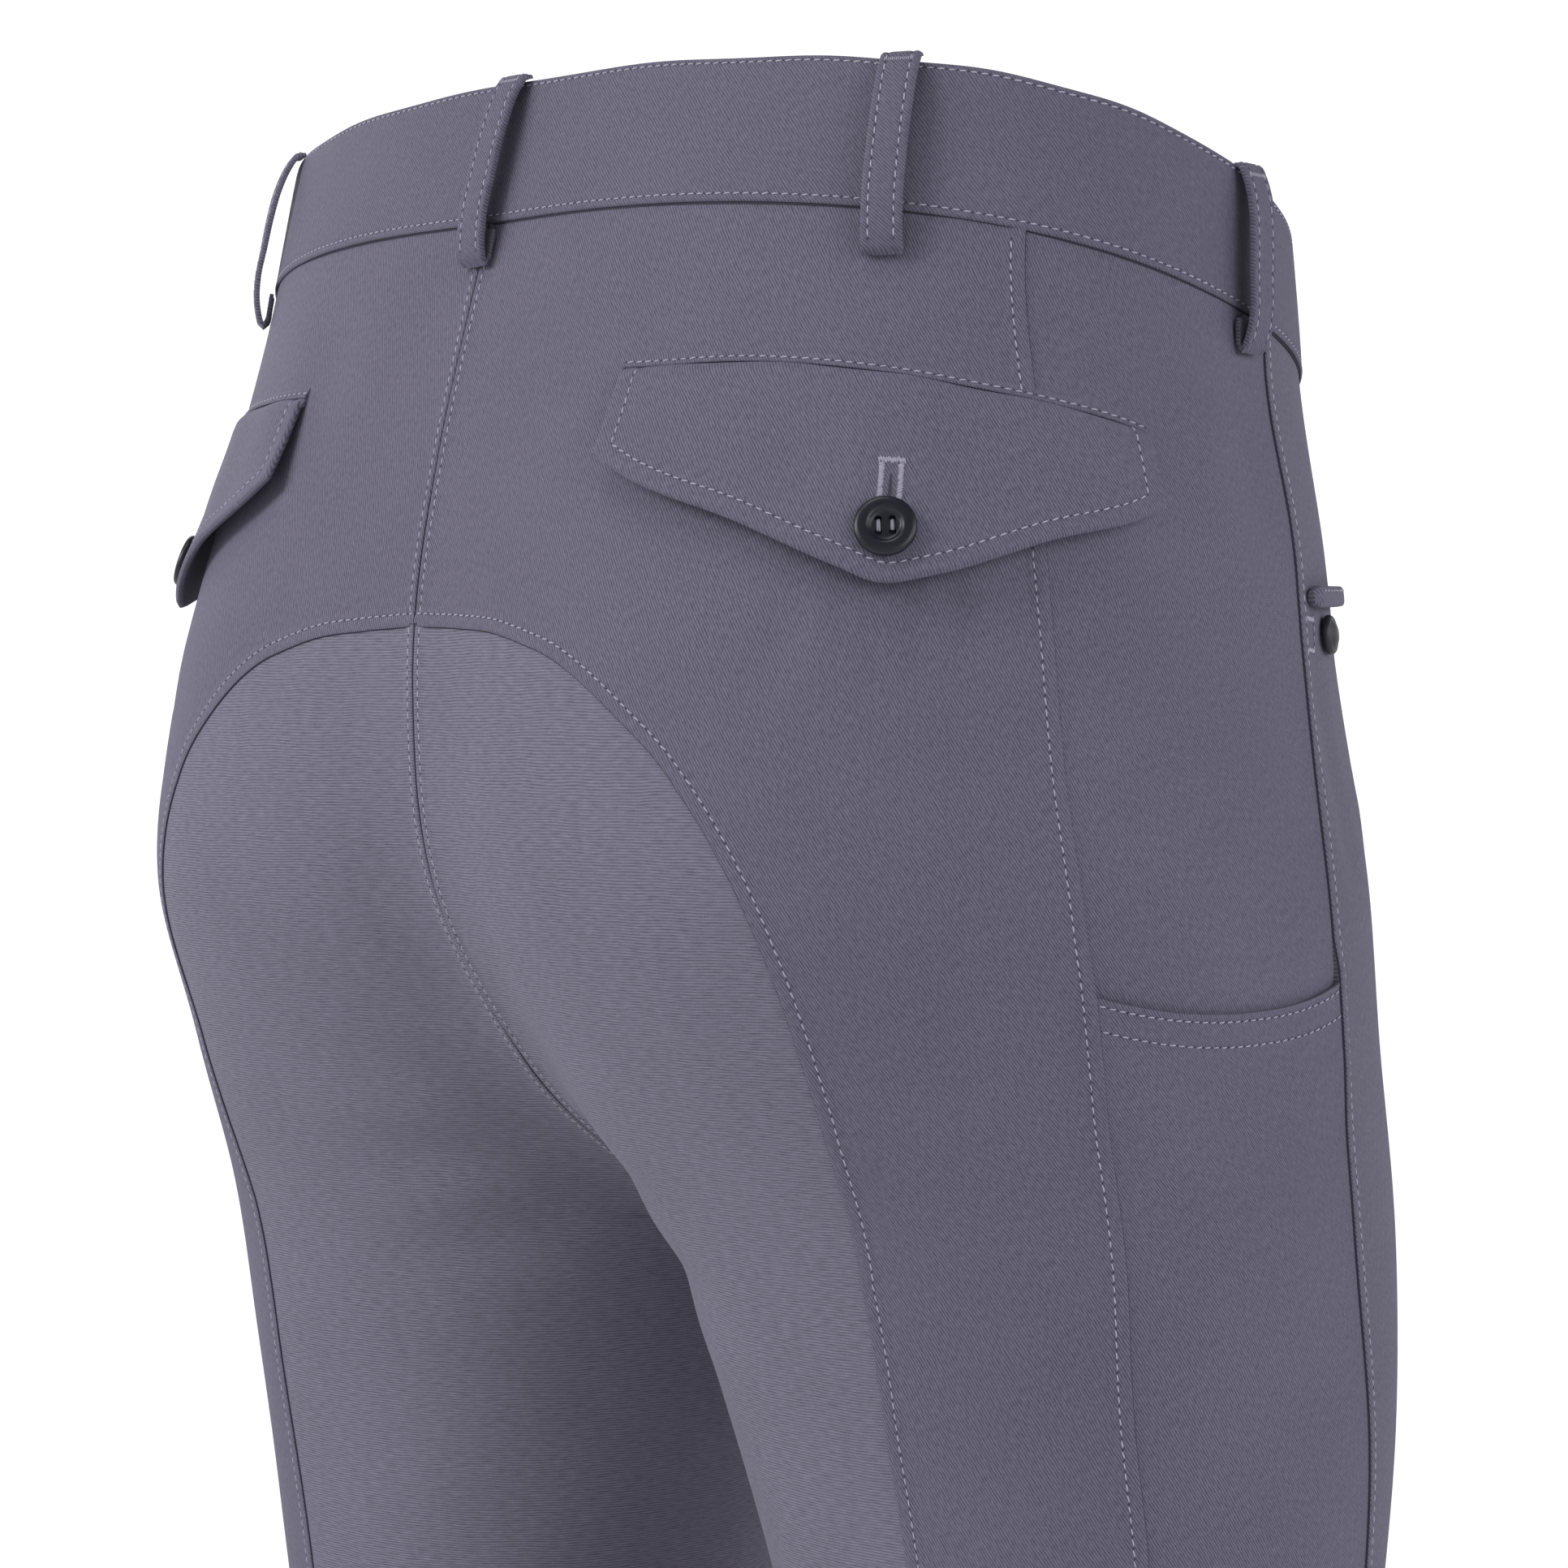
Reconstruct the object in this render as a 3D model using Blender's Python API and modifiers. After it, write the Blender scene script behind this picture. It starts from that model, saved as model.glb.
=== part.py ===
"""Full-seat riding breeches, filled out on a general figure with nobody in them.

Metres, +Z up, front faces -Y, wearer's right is -X.  The origin is the middle of the
waist.  One half of the garment is a skin read from FORM: at every level an oval round
the leg or hip centre, joined to its mirror image across the middle.  A place on the skin
is (girth, level): girth 0 is the outer side, +1 centre back (inner leg below the fork),
-1 centre front, and past +1 it goes on round the inner leg to the front.
Panels are cut between named seams, so neighbours share the same points on every seam.
"""
import math

import bmesh
import bpy
import numpy as np
from mathutils import Matrix, Vector

# ---- driving sizes ------------------------------------------------------------
WALL = 0.0012            # panel cloth
GAP = 0.0003             # clear width of every seam
BAND_HEIGHT = 0.035      # waistband
BAND_OUT = 0.0009        # waistband stands this far over the panels
BAND_WALL = 0.0026
BAND_LAP = 0.030         # left end lapped over the right at centre front
LOOP_WIDTH = 0.0105
LOOP_WALL = 0.0016
LOOP_STAND = 0.0044      # clear gap behind a belt loop
LOOP_DROP = 0.0100       # loop end below the waist seam
FLAP_WALL = 0.0022       # two layers
FLAP_LIFT = 0.0042       # lower edge of a flap stands off the seat
BUTTON_DIA = 0.0155
BUTTON_THICK = 0.0030
SNAP_DIA = 0.0105
SNAP_THICK = 0.0034
LIP_HEIGHT = 0.0060
LIP_THICK = 0.0034
FLY_WIDTH = 0.034
FLY_BOTTOM = -0.190
FLY_OUT = 0.0014
HEM = -0.872             # panels end, cuffs start
ANKLE = -0.950
MOUTH_UNDER = 0.020      # side panel runs on behind the thigh pocket
MOUTH_INSET = 0.004      # girth the mouth keeps clear of its side seams
TAIL_INSET = 0.010
TILT = 0.31              # waist rises to the back by this slope
TILT_FADE = 0.160        # and is level by this depth
ROUND = 2.2              # oval exponent of every section

# level, centre, half width, mid y, front depth, back depth, back bridge, front bridge
FORM = (
    (0.000, 0.017, 0.152, 0.008, 0.108, 0.081, 0.001, 0.001),
    (-0.045, 0.029, 0.138, 0.008, 0.118, 0.096, 0.004, 0.010),
    (-0.090, 0.040, 0.135, 0.005, 0.111, 0.113, 0.013, 0.035),
    (-0.140, 0.058, 0.121, 0.005, 0.111, 0.127, 0.022, 0.070),
    (-0.190, 0.071, 0.116, 0.005, 0.112, 0.126, 0.026, 0.075),
    (-0.235, 0.082, 0.106, 0.001, 0.108, 0.111, 0.029, 0.055),
    (-0.280, 0.098, 0.093, -0.002, 0.101, 0.092, 0.026, 0.028),
    (-0.330, 0.106, 0.083, -0.009, 0.092, 0.087, 0.016, 0.016),
    (-0.390, 0.113, 0.074, -0.009, 0.079, 0.075, 0.007, 0.007),
    (-0.470, 0.110, 0.065, -0.009, 0.071, 0.068, 0.002, 0.002),
    (-0.560, 0.107, 0.059, -0.006, 0.062, 0.060, 0.001, 0.001),
    (-0.660, 0.104, 0.056, 0.004, 0.052, 0.063, 0.001, 0.001),
    (-0.760, 0.101, 0.049, 0.008, 0.044, 0.055, 0.001, 0.001),
    (-0.860, 0.098, 0.038, 0.006, 0.038, 0.042, 0.001, 0.001),
    (-0.950, 0.096, 0.034, 0.002, 0.040, 0.038, 0.001, 0.001),
)
# level, angle from the outer side that a girth of 1 would turn through
TURN = (
    (0.000, 1.66),
    (-0.035, 1.73),
    (-0.070, 1.79),
    (-0.100, 1.85),
    (-0.130, 1.95),
    (-0.160, 2.04),
    (-0.190, 2.12),
    (-0.220, 2.22),
    (-0.250, 2.36),
    (-0.280, 2.54),
    (-0.320, 2.80),
    (-0.380, 3.02),
    (-0.450, math.pi),
    (-0.950, math.pi),
)
# level, girth of the side-back seam, girth of the front-side seam
SIDE_SEAMS = (
    (-0.035, 0.277, -0.150),
    (-0.070, 0.258, -0.132),
    (-0.105, 0.240, -0.134),
    (-0.130, 0.216, -0.134),
    (-0.160, 0.203, -0.126),
    (-0.200, 0.195, -0.118),
    (-0.250, 0.200, -0.112),
    (-0.300, 0.204, -0.107),
    (-0.350, 0.188, -0.116),
    (-0.450, 0.184, -0.125),
    (-0.950, 0.180, -0.125),
)
# seat seam from centre back round and down: girth, level
SEAT_ARC = (
    (1.000, -0.1265),
    (0.925, -0.1273),
    (0.850, -0.1290),
    (0.772, -0.1345),
    (0.688, -0.1455),
    (0.612, -0.1590),
    (0.555, -0.1800),
    (0.520, -0.2050),
    (0.503, -0.2370),
)
# level, girth of the seat seam below its arc
SEAT_LEG = (
    (-0.2370, 0.503),
    (-0.2600, 0.500),
    (-0.2850, 0.495),
    (-0.3100, 0.477),
    (-0.3350, 0.463),
    (-0.3600, 0.458),
    (-0.5500, 0.450),
    (-0.9500, 0.450),
)
# depth below the fork, girth past the inner leg where the inseam lies
INSEAM = (
    (0.000, 0.000),
    (0.020, 0.050),
    (0.060, 0.140),
    (0.120, 0.215),
    (0.700, 0.250),
)
# flap outline: part of the width, girth, top level, bottom level
FLAP = (
    (0.00, 0.762, -0.0727, -0.0935),
    (0.05, 0.730, -0.0726, -0.0972),
    (0.28, 0.575, -0.0716, -0.1079),
    (0.45, 0.462, -0.0720, -0.1160),
    (0.53, 0.411, -0.0724, -0.1190),
    (0.61, 0.358, -0.0731, -0.1166),
    (0.80, 0.236, -0.0744, -0.1064),
    (0.96, 0.130, -0.0760, -0.0985),
    (1.00, 0.104, -0.0766, -0.0955),
)
# name, side, girth at the band top, girth at the loop's foot
LOOPS = (
    ("loop_centre_back", 1, 1.000, 1.000),
    ("loop_back_l", 1, 0.490, 0.458),
    ("loop_back_r", -1, 0.490, 0.458),
    ("loop_side_l", 1, -0.088, -0.092),
    ("loop_side_r", -1, -0.088, -0.092),
    ("loop_front_l", 1, -0.620, -0.620),
    ("loop_front_r", -1, -0.620, -0.620),
)
FLAP_BUTTON_AT = (0.520, 0.760)   # part of the flap's width and height
SNAP_AT = (-0.222, -0.1175)
LIP_FROM = (-0.160, -0.1085)
LIP_TO = (-0.470, -0.1000)
BACK_COLUMNS = 6
SEAT_COLUMNS = 8
FRONT_COLUMNS = 7
SIDE_COLUMNS = 4
MOUTH_DEPTH = -0.2105     # level of the thigh pocket's mouth at its two seams
MOUTH_SAG = 0.0058        # and how much lower it hangs in the middle

COLORS = {
    "cloth": (0.150, 0.142, 0.196),
    "seat": (0.205, 0.196, 0.255),
    "band": (0.160, 0.150, 0.208),
    "button": (0.012, 0.013, 0.022),
    "snap": (0.030, 0.030, 0.042),
}


# ---- the form -----------------------------------------------------------------
def table_read(table, at):
    """Smooth value of every other column of a table at values of its first column."""
    rows = np.array(sorted(table), dtype=float)
    key = rows[:, 0]
    val = rows[:, 1:]
    step = np.diff(key)[:, None]
    rise = np.diff(val, axis=0) / step
    slope = np.empty_like(val)
    slope[0] = rise[0]
    slope[-1] = rise[-1]
    slope[1:-1] = (step[1:] * rise[:-1] + step[:-1] * rise[1:]) / (step[1:] + step[:-1])
    x = np.clip(np.asarray(at, dtype=float), key[0], key[-1])
    i = np.clip(np.searchsorted(key, x) - 1, 0, len(key) - 2)
    h = (key[i + 1] - key[i])[..., None]
    s = (x[..., None] - key[i][..., None]) / h
    low = val[i] * (1 + 2 * s) * (1 - s) ** 2 + slope[i] * h * s * (1 - s) ** 2
    high = val[i + 1] * s * s * (3 - 2 * s) - slope[i + 1] * h * s * s * (1 - s)
    return low + high


def oval(x, y, c):
    """Below zero inside the oval round one centre, above zero outside."""
    cx, w, my, fd, bd = c[0], c[1], c[2], c[3], c[4]
    d = np.where(y > my, bd, fd)
    r = (np.abs((x - cx) / w) ** ROUND + np.abs((y - my) / d) ** ROUND) ** (1 / ROUND)
    return (r - 1) * np.minimum(w, d)


def joined(x, y, c):
    """Both ovals joined, the cloth bridging the valley between them."""
    a = oval(x, y, c)
    b = oval(-x, y, c)
    front = np.clip((c[2] - y) / 0.050, 0, 1)
    bridge = np.maximum(c[5] + (c[6] - c[5]) * front * front * (3 - 2 * front), 1e-4)
    h = np.clip(1 - np.abs(a - b) / bridge, 0, 1)
    return np.minimum(a, b) - h * h * bridge / 4


def section(girth, level):
    """x and y of the +X half at a girth and level."""
    p = np.where(girth > 1, girth - 2, girth)
    c = np.moveaxis(table_read(FORM, level), -1, 0)
    cx, w, my, fd, bd = c[0], c[1], c[2], c[3], c[4]
    zero = np.zeros_like(cx)
    torso = joined(zero, my, c) < 0
    sign = np.where(p > 0, 1.0, -1.0)
    lo = zero
    hi = zero + 0.25
    for _ in range(26):
        mid = (lo + hi) / 2
        out = joined(zero, my + sign * mid, c) > 0
        hi = np.where(out, mid, hi)
        lo = np.where(out, lo, mid)
    depth = np.where(p > 0, bd, fd)
    half = ROUND / 2
    end = np.where(torso, np.arctan2((lo / depth) ** half, -((cx / w) ** half)), math.pi)
    even = table_read(TURN, level)[..., 0]
    turn = p * even + (end - even) * p * np.abs(p) ** 4
    dx = w * np.sign(np.cos(turn)) * np.abs(np.cos(turn)) ** (1 / half)
    dy = depth * np.sign(np.sin(turn)) * np.abs(np.sin(turn)) ** (1 / half)
    reach = np.where(dx < -1e-6, cx / np.maximum(-dx, 1e-6), 1.5)
    hi = np.minimum(reach, 1.5)
    lo = np.minimum(zero + 0.9, hi)
    for _ in range(30):
        mid = (lo + hi) / 2
        out = joined(cx + mid * dx, my + mid * dy, c) > 0
        hi = np.where(out, mid, hi)
        lo = np.where(out, lo, mid)
    return np.maximum(cx + lo * dx, 0), my + lo * dy


def skin(side, girth, level):
    """Point on the skin: side is +1 for the wearer's left, -1 for the right."""
    girth, level = np.broadcast_arrays(np.asarray(girth, float), np.asarray(level, float))
    x, y = section(girth, level)
    z = level + TILT * y * np.clip(1 + level / TILT_FADE, 0, 1)
    return np.stack([side * x, y, z], -1)


def fork_level():
    """Level where the two halves part."""
    hi, lo = -0.20, -0.34
    for _ in range(40):
        mid = (hi + lo) / 2
        c = table_read(FORM, np.array(mid))
        if joined(0.0, c[2], c) < 0:
            hi = mid
        else:
            lo = mid
    return (hi + lo) / 2


FORK = fork_level()


def lifted(side, girth, level, out):
    """Point moved off the skin along its outward normal."""
    girth, level = np.broadcast_arrays(np.asarray(girth, float), np.asarray(level, float))
    torso = level > FORK
    dp = 2e-3
    dz = 2e-4
    p_hi = np.where(torso, np.minimum(girth + dp, 1.0), girth + dp)
    p_lo = np.where(torso, np.maximum(girth - dp, -1.0), girth - dp)
    z_hi = np.where(torso, level + dz, np.minimum(level + dz, FORK - 1e-6))
    z_lo = np.where(torso, np.maximum(level - dz, FORK + 1e-6), level - dz)
    along = skin(side, p_hi, level) - skin(side, p_lo, level)
    up = skin(side, girth, z_hi) - skin(side, girth, z_lo)
    n = np.cross(up, along) * -side
    middle = torso & (np.abs(np.abs(girth) - 1) < 1e-6)
    n[..., 0] = np.where(middle, 0.0, n[..., 0])
    n = n / np.linalg.norm(n, axis=-1)[..., None]
    return skin(side, girth, level) + n * np.asarray(out)[..., None], n


# ---- mesh helpers -------------------------------------------------------------
def material(name, rgb, rough):
    mat = bpy.data.materials.new(name)
    mat.use_nodes = True
    bsdf = mat.node_tree.nodes["Principled BSDF"]
    bsdf.inputs["Base Color"].default_value = (*rgb, 1.0)
    bsdf.inputs["Roughness"].default_value = rough
    mat.diffuse_color = (*rgb, 1.0)
    return mat


def add_object(name, bm, kind, coll):
    bmesh.ops.remove_doubles(bm, verts=bm.verts, dist=2e-5)
    bmesh.ops.dissolve_degenerate(bm, edges=bm.edges, dist=1e-6)
    bmesh.ops.recalc_face_normals(bm, faces=bm.faces)
    mesh = bpy.data.meshes.new(name)
    bm.to_mesh(mesh)
    bm.free()
    obj = bpy.data.objects.new(name, mesh)
    rough = {"button": 0.42, "snap": 0.35}.get(kind, 0.86)
    obj.data.materials.append(material("mat_" + name, COLORS[kind], rough))
    coll.objects.link(obj)
    return obj


def shrink(grid, dist, sides):
    """Draw the named edges of a grid of points inward, so seams stay open."""
    g = grid.copy()
    pairs = {"left": ((slice(None), 0), (slice(None), 1)),
             "right": ((slice(None), -1), (slice(None), -2)),
             "top": ((0,), (1,)), "bottom": ((-1,), (-2,))}
    for name in sides:
        edge, near = pairs[name]
        d = g[near] - g[edge]
        length = np.maximum(np.linalg.norm(d, axis=-1)[..., None], 1e-9)
        g[edge] = g[edge] + d / length * np.minimum(dist, length * 0.4)
    return g


def shell(name, outer, inner, kind, coll, ring=False):
    """Closed wall between two grids; both sides are split along the same diagonals."""
    rows, cols = outer.shape[:2]
    bm = bmesh.new()
    skins = []
    for grid in (outer, inner):
        skins.append([[bm.verts.new(grid[i, j]) for j in range(cols)] for i in range(rows)])
    last = cols if ring else cols - 1
    for i in range(rows - 1):
        for j in range(last):
            k = (j + 1) % cols
            down = np.linalg.norm(outer[i, j] - outer[i + 1, k])
            up = np.linalg.norm(outer[i, k] - outer[i + 1, j])
            for flip, v in enumerate(skins):
                quad = [v[i][j], v[i][k], v[i + 1][k], v[i + 1][j]]
                if up < down:
                    quad = quad[1:] + quad[:1]
                for face in ((quad[0], quad[1], quad[2]), (quad[0], quad[2], quad[3])):
                    bm.faces.new(face[::-1] if flip else face)
    a, b = skins
    for j in range(last):
        k = (j + 1) % cols
        bm.faces.new([a[0][k], a[0][j], b[0][j], b[0][k]])
        bm.faces.new([a[-1][j], a[-1][k], b[-1][k], b[-1][j]])
    if not ring:
        for i in range(rows - 1):
            bm.faces.new([a[i][0], a[i + 1][0], b[i + 1][0], b[i][0]])
            bm.faces.new([a[i + 1][-1], a[i][-1], b[i][-1], b[i + 1][-1]])
    return add_object(name, bm, kind, coll)


def sheet(name, grid, wall, kind, coll):
    """Open sheet of points given its thickness outward by Solidify."""
    rows, cols = grid.shape[:2]
    bm = bmesh.new()
    v = [[bm.verts.new(grid[i, j]) for j in range(cols)] for i in range(rows)]
    for i in range(rows - 1):
        for j in range(cols - 1):
            bm.faces.new([v[i][j], v[i][j + 1], v[i + 1][j + 1], v[i + 1][j]])
    obj = add_object(name, bm, kind, coll)
    face = obj.data.polygons[len(obj.data.polygons) // 2]
    outward = Vector((face.center.x, face.center.y, 0)).dot(face.normal) > 0
    mod = obj.modifiers.new("thickness", "SOLIDIFY")
    mod.thickness = wall
    mod.offset = 1.0 if outward else -1.0
    if not outward:
        mod.use_flip_normals = True
    mod.use_even_offset = True
    return obj


# ---- seams as points ----------------------------------------------------------
def levels():
    """Levels of the panel rows, close together round the fork."""
    upper = [-BAND_HEIGHT - 2 * GAP, -0.054, -0.0725, -0.090, -0.108, SEAT_ARC[0][1]]
    mid = [-0.142, -0.158, -0.176, -0.196, -0.2165, -0.236, -0.253]
    above = [FORK + d for d in (0.016, 0.0085, 0.0038, 0.001)]
    below = [FORK - d for d in (0.001, 0.0040, 0.010, 0.020, 0.036, 0.058, 0.088)]
    leg = [-0.420, -0.475, -0.535, -0.600, -0.665, -0.730, -0.800, HEM]
    return upper + mid + above + [FORK] + below + leg


LEVELS = levels()
CORNER = 5
FORK_ROW = LEVELS.index(FORK)


def seam(column, level):
    return table_read(SIDE_SEAMS, np.array(level))[column]


def seat_point(i):
    """Girth and level of the seat seam on row i."""
    k = i - CORNER
    if k < len(SEAT_ARC):
        return SEAT_ARC[k]
    start = CORNER + len(SEAT_ARC) - 1
    stop = FORK_ROW + 7
    part = min((i - start) / (stop - start), 1.0)
    level = LEVELS[i] + (SEAT_ARC[-1][1] - LEVELS[start]) * (1 - part)
    return float(table_read(SEAT_LEG, np.array(level))[0]), level


def inner_point(i):
    """Girth and level where the seat and front panels meet, or the middle above the fork."""
    if i <= FORK_ROW:
        return 1.0, LEVELS[i]
    return 1.0 + float(table_read(INSEAM, np.array(FORK - LEVELS[i]))[0]), LEVELS[i]


def rows_between(left, right, columns, lean=1.0):
    """(girth, level) grid with straight rows between two lists of seam points."""
    u = np.linspace(0, 1, columns + 1) ** lean
    a = np.array(left)[:, None, :]
    b = np.array(right)[:, None, :]
    return a + (b - a) * u[None, :, None]


def mouth(girth, level_top):
    """Level of the thigh pocket mouth across the side panel."""
    a = seam(1, MOUTH_DEPTH)
    b = seam(0, MOUTH_DEPTH)
    u = (girth - a) / (b - a)
    return level_top - MOUTH_SAG * 4 * u * (1 - u)


def panel(name, side, grid, sides, kind, coll, out=0.0, wall=WALL):
    outer, _ = lifted(side, grid[..., 0], grid[..., 1], out)
    inner, _ = lifted(side, grid[..., 0], grid[..., 1], out - wall)
    outer = shrink(outer, GAP / 2, sides)
    inner = shrink(inner, GAP / 2, sides)
    for pts in (outer, inner):
        pts[..., 0] = side * np.maximum(side * pts[..., 0], GAP / 2)
    return shell(name, outer, inner, kind, coll)


# ---- pieces -------------------------------------------------------------------
def build_panels(coll):
    n = len(LEVELS)
    sb = [(float(seam(0, z)), z) for z in LEVELS]
    sf = [(float(seam(1, z)), z) for z in LEVELS]
    for tag, side in (("l", 1), ("r", -1)):
        right = [(1.0, LEVELS[i]) for i in range(CORNER)]
        right += [seat_point(i) for i in range(CORNER, n)]
        back = rows_between(sb, right, BACK_COLUMNS)
        panel("back_" + tag, side, back, ("left", "right"), "cloth", coll)

        left = [seat_point(i) for i in range(CORNER, n)]
        inner = [inner_point(i) for i in range(CORNER, n)]
        seat = rows_between(left, inner, SEAT_COLUMNS)
        panel("seat_" + tag, side, seat, ("left", "right"), "seat", coll)

        middle = [(-1.0, z) for z in LEVELS[:FORK_ROW + 1]]
        middle += [(inner_point(i)[0] - 2.0, LEVELS[i]) for i in range(FORK_ROW + 1, n)]
        front = rows_between(middle, sf, FRONT_COLUMNS, 1.15)
        panel("front_" + tag, side, front, ("left", "right"), "cloth", coll)
        build_side(tag, side, coll)


def build_side(tag, side, coll):
    """Side panel, and the thigh pocket panel whose mouth laps over its tail."""
    rows = [z for z in LEVELS if z > MOUTH_DEPTH - 0.008]
    sf = [(float(seam(1, z)), z) for z in rows]
    sb = [(float(seam(0, z)), z) for z in rows]
    tail = MOUTH_DEPTH - MOUTH_UNDER
    sf.append((float(seam(1, tail)) + TAIL_INSET, tail))
    sb.append((float(seam(0, tail)) - TAIL_INSET, tail))
    grid = rows_between(sf, sb, SIDE_COLUMNS)
    panel("side_" + tag, side, grid, ("left", "right"), "cloth", coll)

    rows = [MOUTH_DEPTH] + [z for z in LEVELS if z < tail]
    sf = [(float(seam(1, z)), z) for z in rows]
    sb = [(float(seam(0, z)), z) for z in rows]
    for i in (0, 1):
        sf[i] = (sf[i][0] + MOUTH_INSET, rows[i])
        sb[i] = (sb[i][0] - MOUTH_INSET, rows[i])
    grid = rows_between(sf, sb, SIDE_COLUMNS)
    for j in range(SIDE_COLUMNS + 1):
        grid[0, j, 1] = mouth(grid[0, j, 0], MOUTH_DEPTH)
    out = np.zeros(grid.shape[:2])
    out[:2] = WALL + GAP * 2
    panel("thigh_pocket_" + tag, side, grid, ("left", "right"), "cloth", coll, out)


def build_band(coll):
    """Waistband: right centre front, round the back, and lapped over at the front."""
    stops = [(-1, g) for g in np.linspace(-1.0, 0.96, 25)]
    stops += [(1, g) for g in np.linspace(0.96, -1.0, 25)]
    per_x = 0.25 / 0.060
    stops += [(-1, -1.0 + per_x * BAND_LAP * s) for s in (0.35, 0.7, 1.0)]
    outer, inner = [], []
    for row in (0.0, -BAND_HEIGHT / 2, -BAND_HEIGHT):
        a, b = [], []
        for k, (side, girth) in enumerate(stops):
            lap = 0.0
            if k >= 50:
                lap = 1.0
            elif side > 0 and girth < -0.70:
                s = (-0.70 - girth) / 0.30
                lap = s * s * (3 - 2 * s)
            off = BAND_OUT + lap * (BAND_WALL + GAP + 0.0003)
            a.append(lifted(side, girth, row, off)[0])
            b.append(lifted(side, girth, row, off - BAND_WALL)[0])
        outer.append(a)
        inner.append(b)
    return shell("waistband", np.array(outer), np.array(inner), "band", coll)


def build_loop(name, side, top, foot, coll):
    """Belt loop: a strip standing off the band, sewn down at both ends."""
    base = BAND_OUT + GAP + 0.0002
    bottom = -BAND_HEIGHT - LOOP_DROP
    profile = (
        (-0.0008, base), (-0.0042, base + LOOP_STAND * 0.20), (-0.0086, base + LOOP_STAND * 0.74),
        (-0.0135, base + LOOP_STAND), (-0.0230, base + LOOP_STAND),
        (-0.0330, base + LOOP_STAND), (-0.0390, base + LOOP_STAND * 0.84),
        (bottom + 0.0028, GAP + 0.0012), (bottom, GAP + 0.0002))
    grid = []
    for level, off in profile:
        part = level / bottom
        girth = top + (foot - top) * part
        point, n = lifted(side, girth, level, off)
        across = np.cross(n, (0, 0, 1.0))
        across = across / np.linalg.norm(across)
        grid.append([point - across * LOOP_WIDTH / 2, point + across * LOOP_WIDTH / 2])
    return sheet(name, np.array(grid), LOOP_WALL, "band", coll)


def flap_points(side, part, down):
    """Points on the back of a flap, by part of its width and part of its height."""
    cols = table_read(FLAP, np.asarray(part, float))
    level = cols[..., 1] + (cols[..., 2] - cols[..., 1]) * down
    off = GAP + 0.0002 + FLAP_LIFT * down ** 1.5
    return lifted(side, cols[..., 0], level, off)[0]


def build_flap(tag, side, coll):
    part = np.array([0.0, 0.05, 0.16, 0.28, 0.37, 0.45, 0.53, 0.61, 0.70, 0.80, 0.89, 0.96, 1.0])
    rows = [flap_points(side, part, v) for v in (0.0, 0.12, 0.4, 0.7, 1.0)]
    return sheet("flap_" + tag, np.array(rows), FLAP_WALL, "cloth", coll)


def flap_spot(side, part, down, off):
    """Point and outward normal over a flap's outer face."""
    d = 0.03
    across = flap_points(side, part + d, down) - flap_points(side, part - d, down)
    along = flap_points(side, part, down + d) - flap_points(side, part, down - d)
    n = np.cross(across, along)
    n = n / np.linalg.norm(n)
    centre = flap_points(side, part, down)
    if n[0] * centre[0] + n[1] * centre[1] < 0:
        n = -n
    return centre + n * (FLAP_WALL + off), n


def disc_at(name, point, n, dia, thick, kind, coll, holes):
    """Round button or snap cap with its back at a point, facing n."""
    n = Vector(n)
    rim = dia / 2
    lathe = (
        (0.0, 0.0), (rim * 0.80, 0.0), (rim, thick * 0.30), (rim, thick * 0.62),
        (rim * 0.90, thick), (rim * 0.70, thick * 0.93), (rim * 0.58, thick * 0.62))
    if not holes:
        lathe = ((0.0, 0.0), (rim * 0.90, 0.0), (rim, thick * 0.35), (rim * 0.94, thick * 0.70),
                 (rim * 0.70, thick * 0.93), (rim * 0.35, thick))
    bm = bmesh.new()
    count = 24
    rings = []
    for r, h in lathe[1:]:
        rings.append([bm.verts.new((r * math.cos(2 * math.pi * k / count),
                                    r * math.sin(2 * math.pi * k / count), h))
                      for k in range(count)])
    for a, b in zip(rings, rings[1:]):
        for k in range(count):
            m = (k + 1) % count
            bm.faces.new([a[k], a[m], b[m], b[k]])
    bm.faces.new(rings[0][::-1])
    bm.faces.new(rings[-1])
    up = Vector((0, 0, 1))
    across = up.cross(n).normalized()
    frame = Matrix((across, n.cross(across), n)).transposed().to_4x4()
    frame.translation = Vector(point)
    bmesh.ops.transform(bm, matrix=frame, verts=bm.verts)
    obj = add_object(name, bm, kind, coll)
    return obj, frame


def cut_holes(obj, frame, spread, dia, coll, cutters):
    """Four thread holes through a button."""
    bm = bmesh.new()
    for sx in (-1, 1):
        for sy in (-1, 1):
            spot = Matrix.Translation((sx * spread, sy * spread, 0.0))
            bmesh.ops.create_cone(bm, cap_ends=True, segments=10, radius1=dia / 2,
                                  radius2=dia / 2, depth=0.012, matrix=frame @ spot)
    mesh = bpy.data.meshes.new("cut_" + obj.name)
    bm.to_mesh(mesh)
    bm.free()
    cut = bpy.data.objects.new("cut_" + obj.name, mesh)
    cutters.objects.link(cut)
    cut.hide_render = True
    mod = obj.modifiers.new("holes", "BOOLEAN")
    mod.operation = "DIFFERENCE"
    mod.solver = "EXACT"
    mod.object = cut


def build_lip(tag, side, coll):
    """Folded lip at the mouth of the front hip pocket."""
    u = np.linspace(0, 1, 8)
    girth = LIP_FROM[0] + (LIP_TO[0] - LIP_FROM[0]) * u
    level = LIP_FROM[1] + (LIP_TO[1] - LIP_FROM[1]) * u
    rows = []
    for v in (0.0, 0.5, 1.0):
        rows.append(lifted(side, girth, level + LIP_HEIGHT * (0.5 - v), GAP + 0.0003)[0])
    return sheet("hip_lip_" + tag, np.array(rows), LIP_THICK, "cloth", coll)


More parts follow.
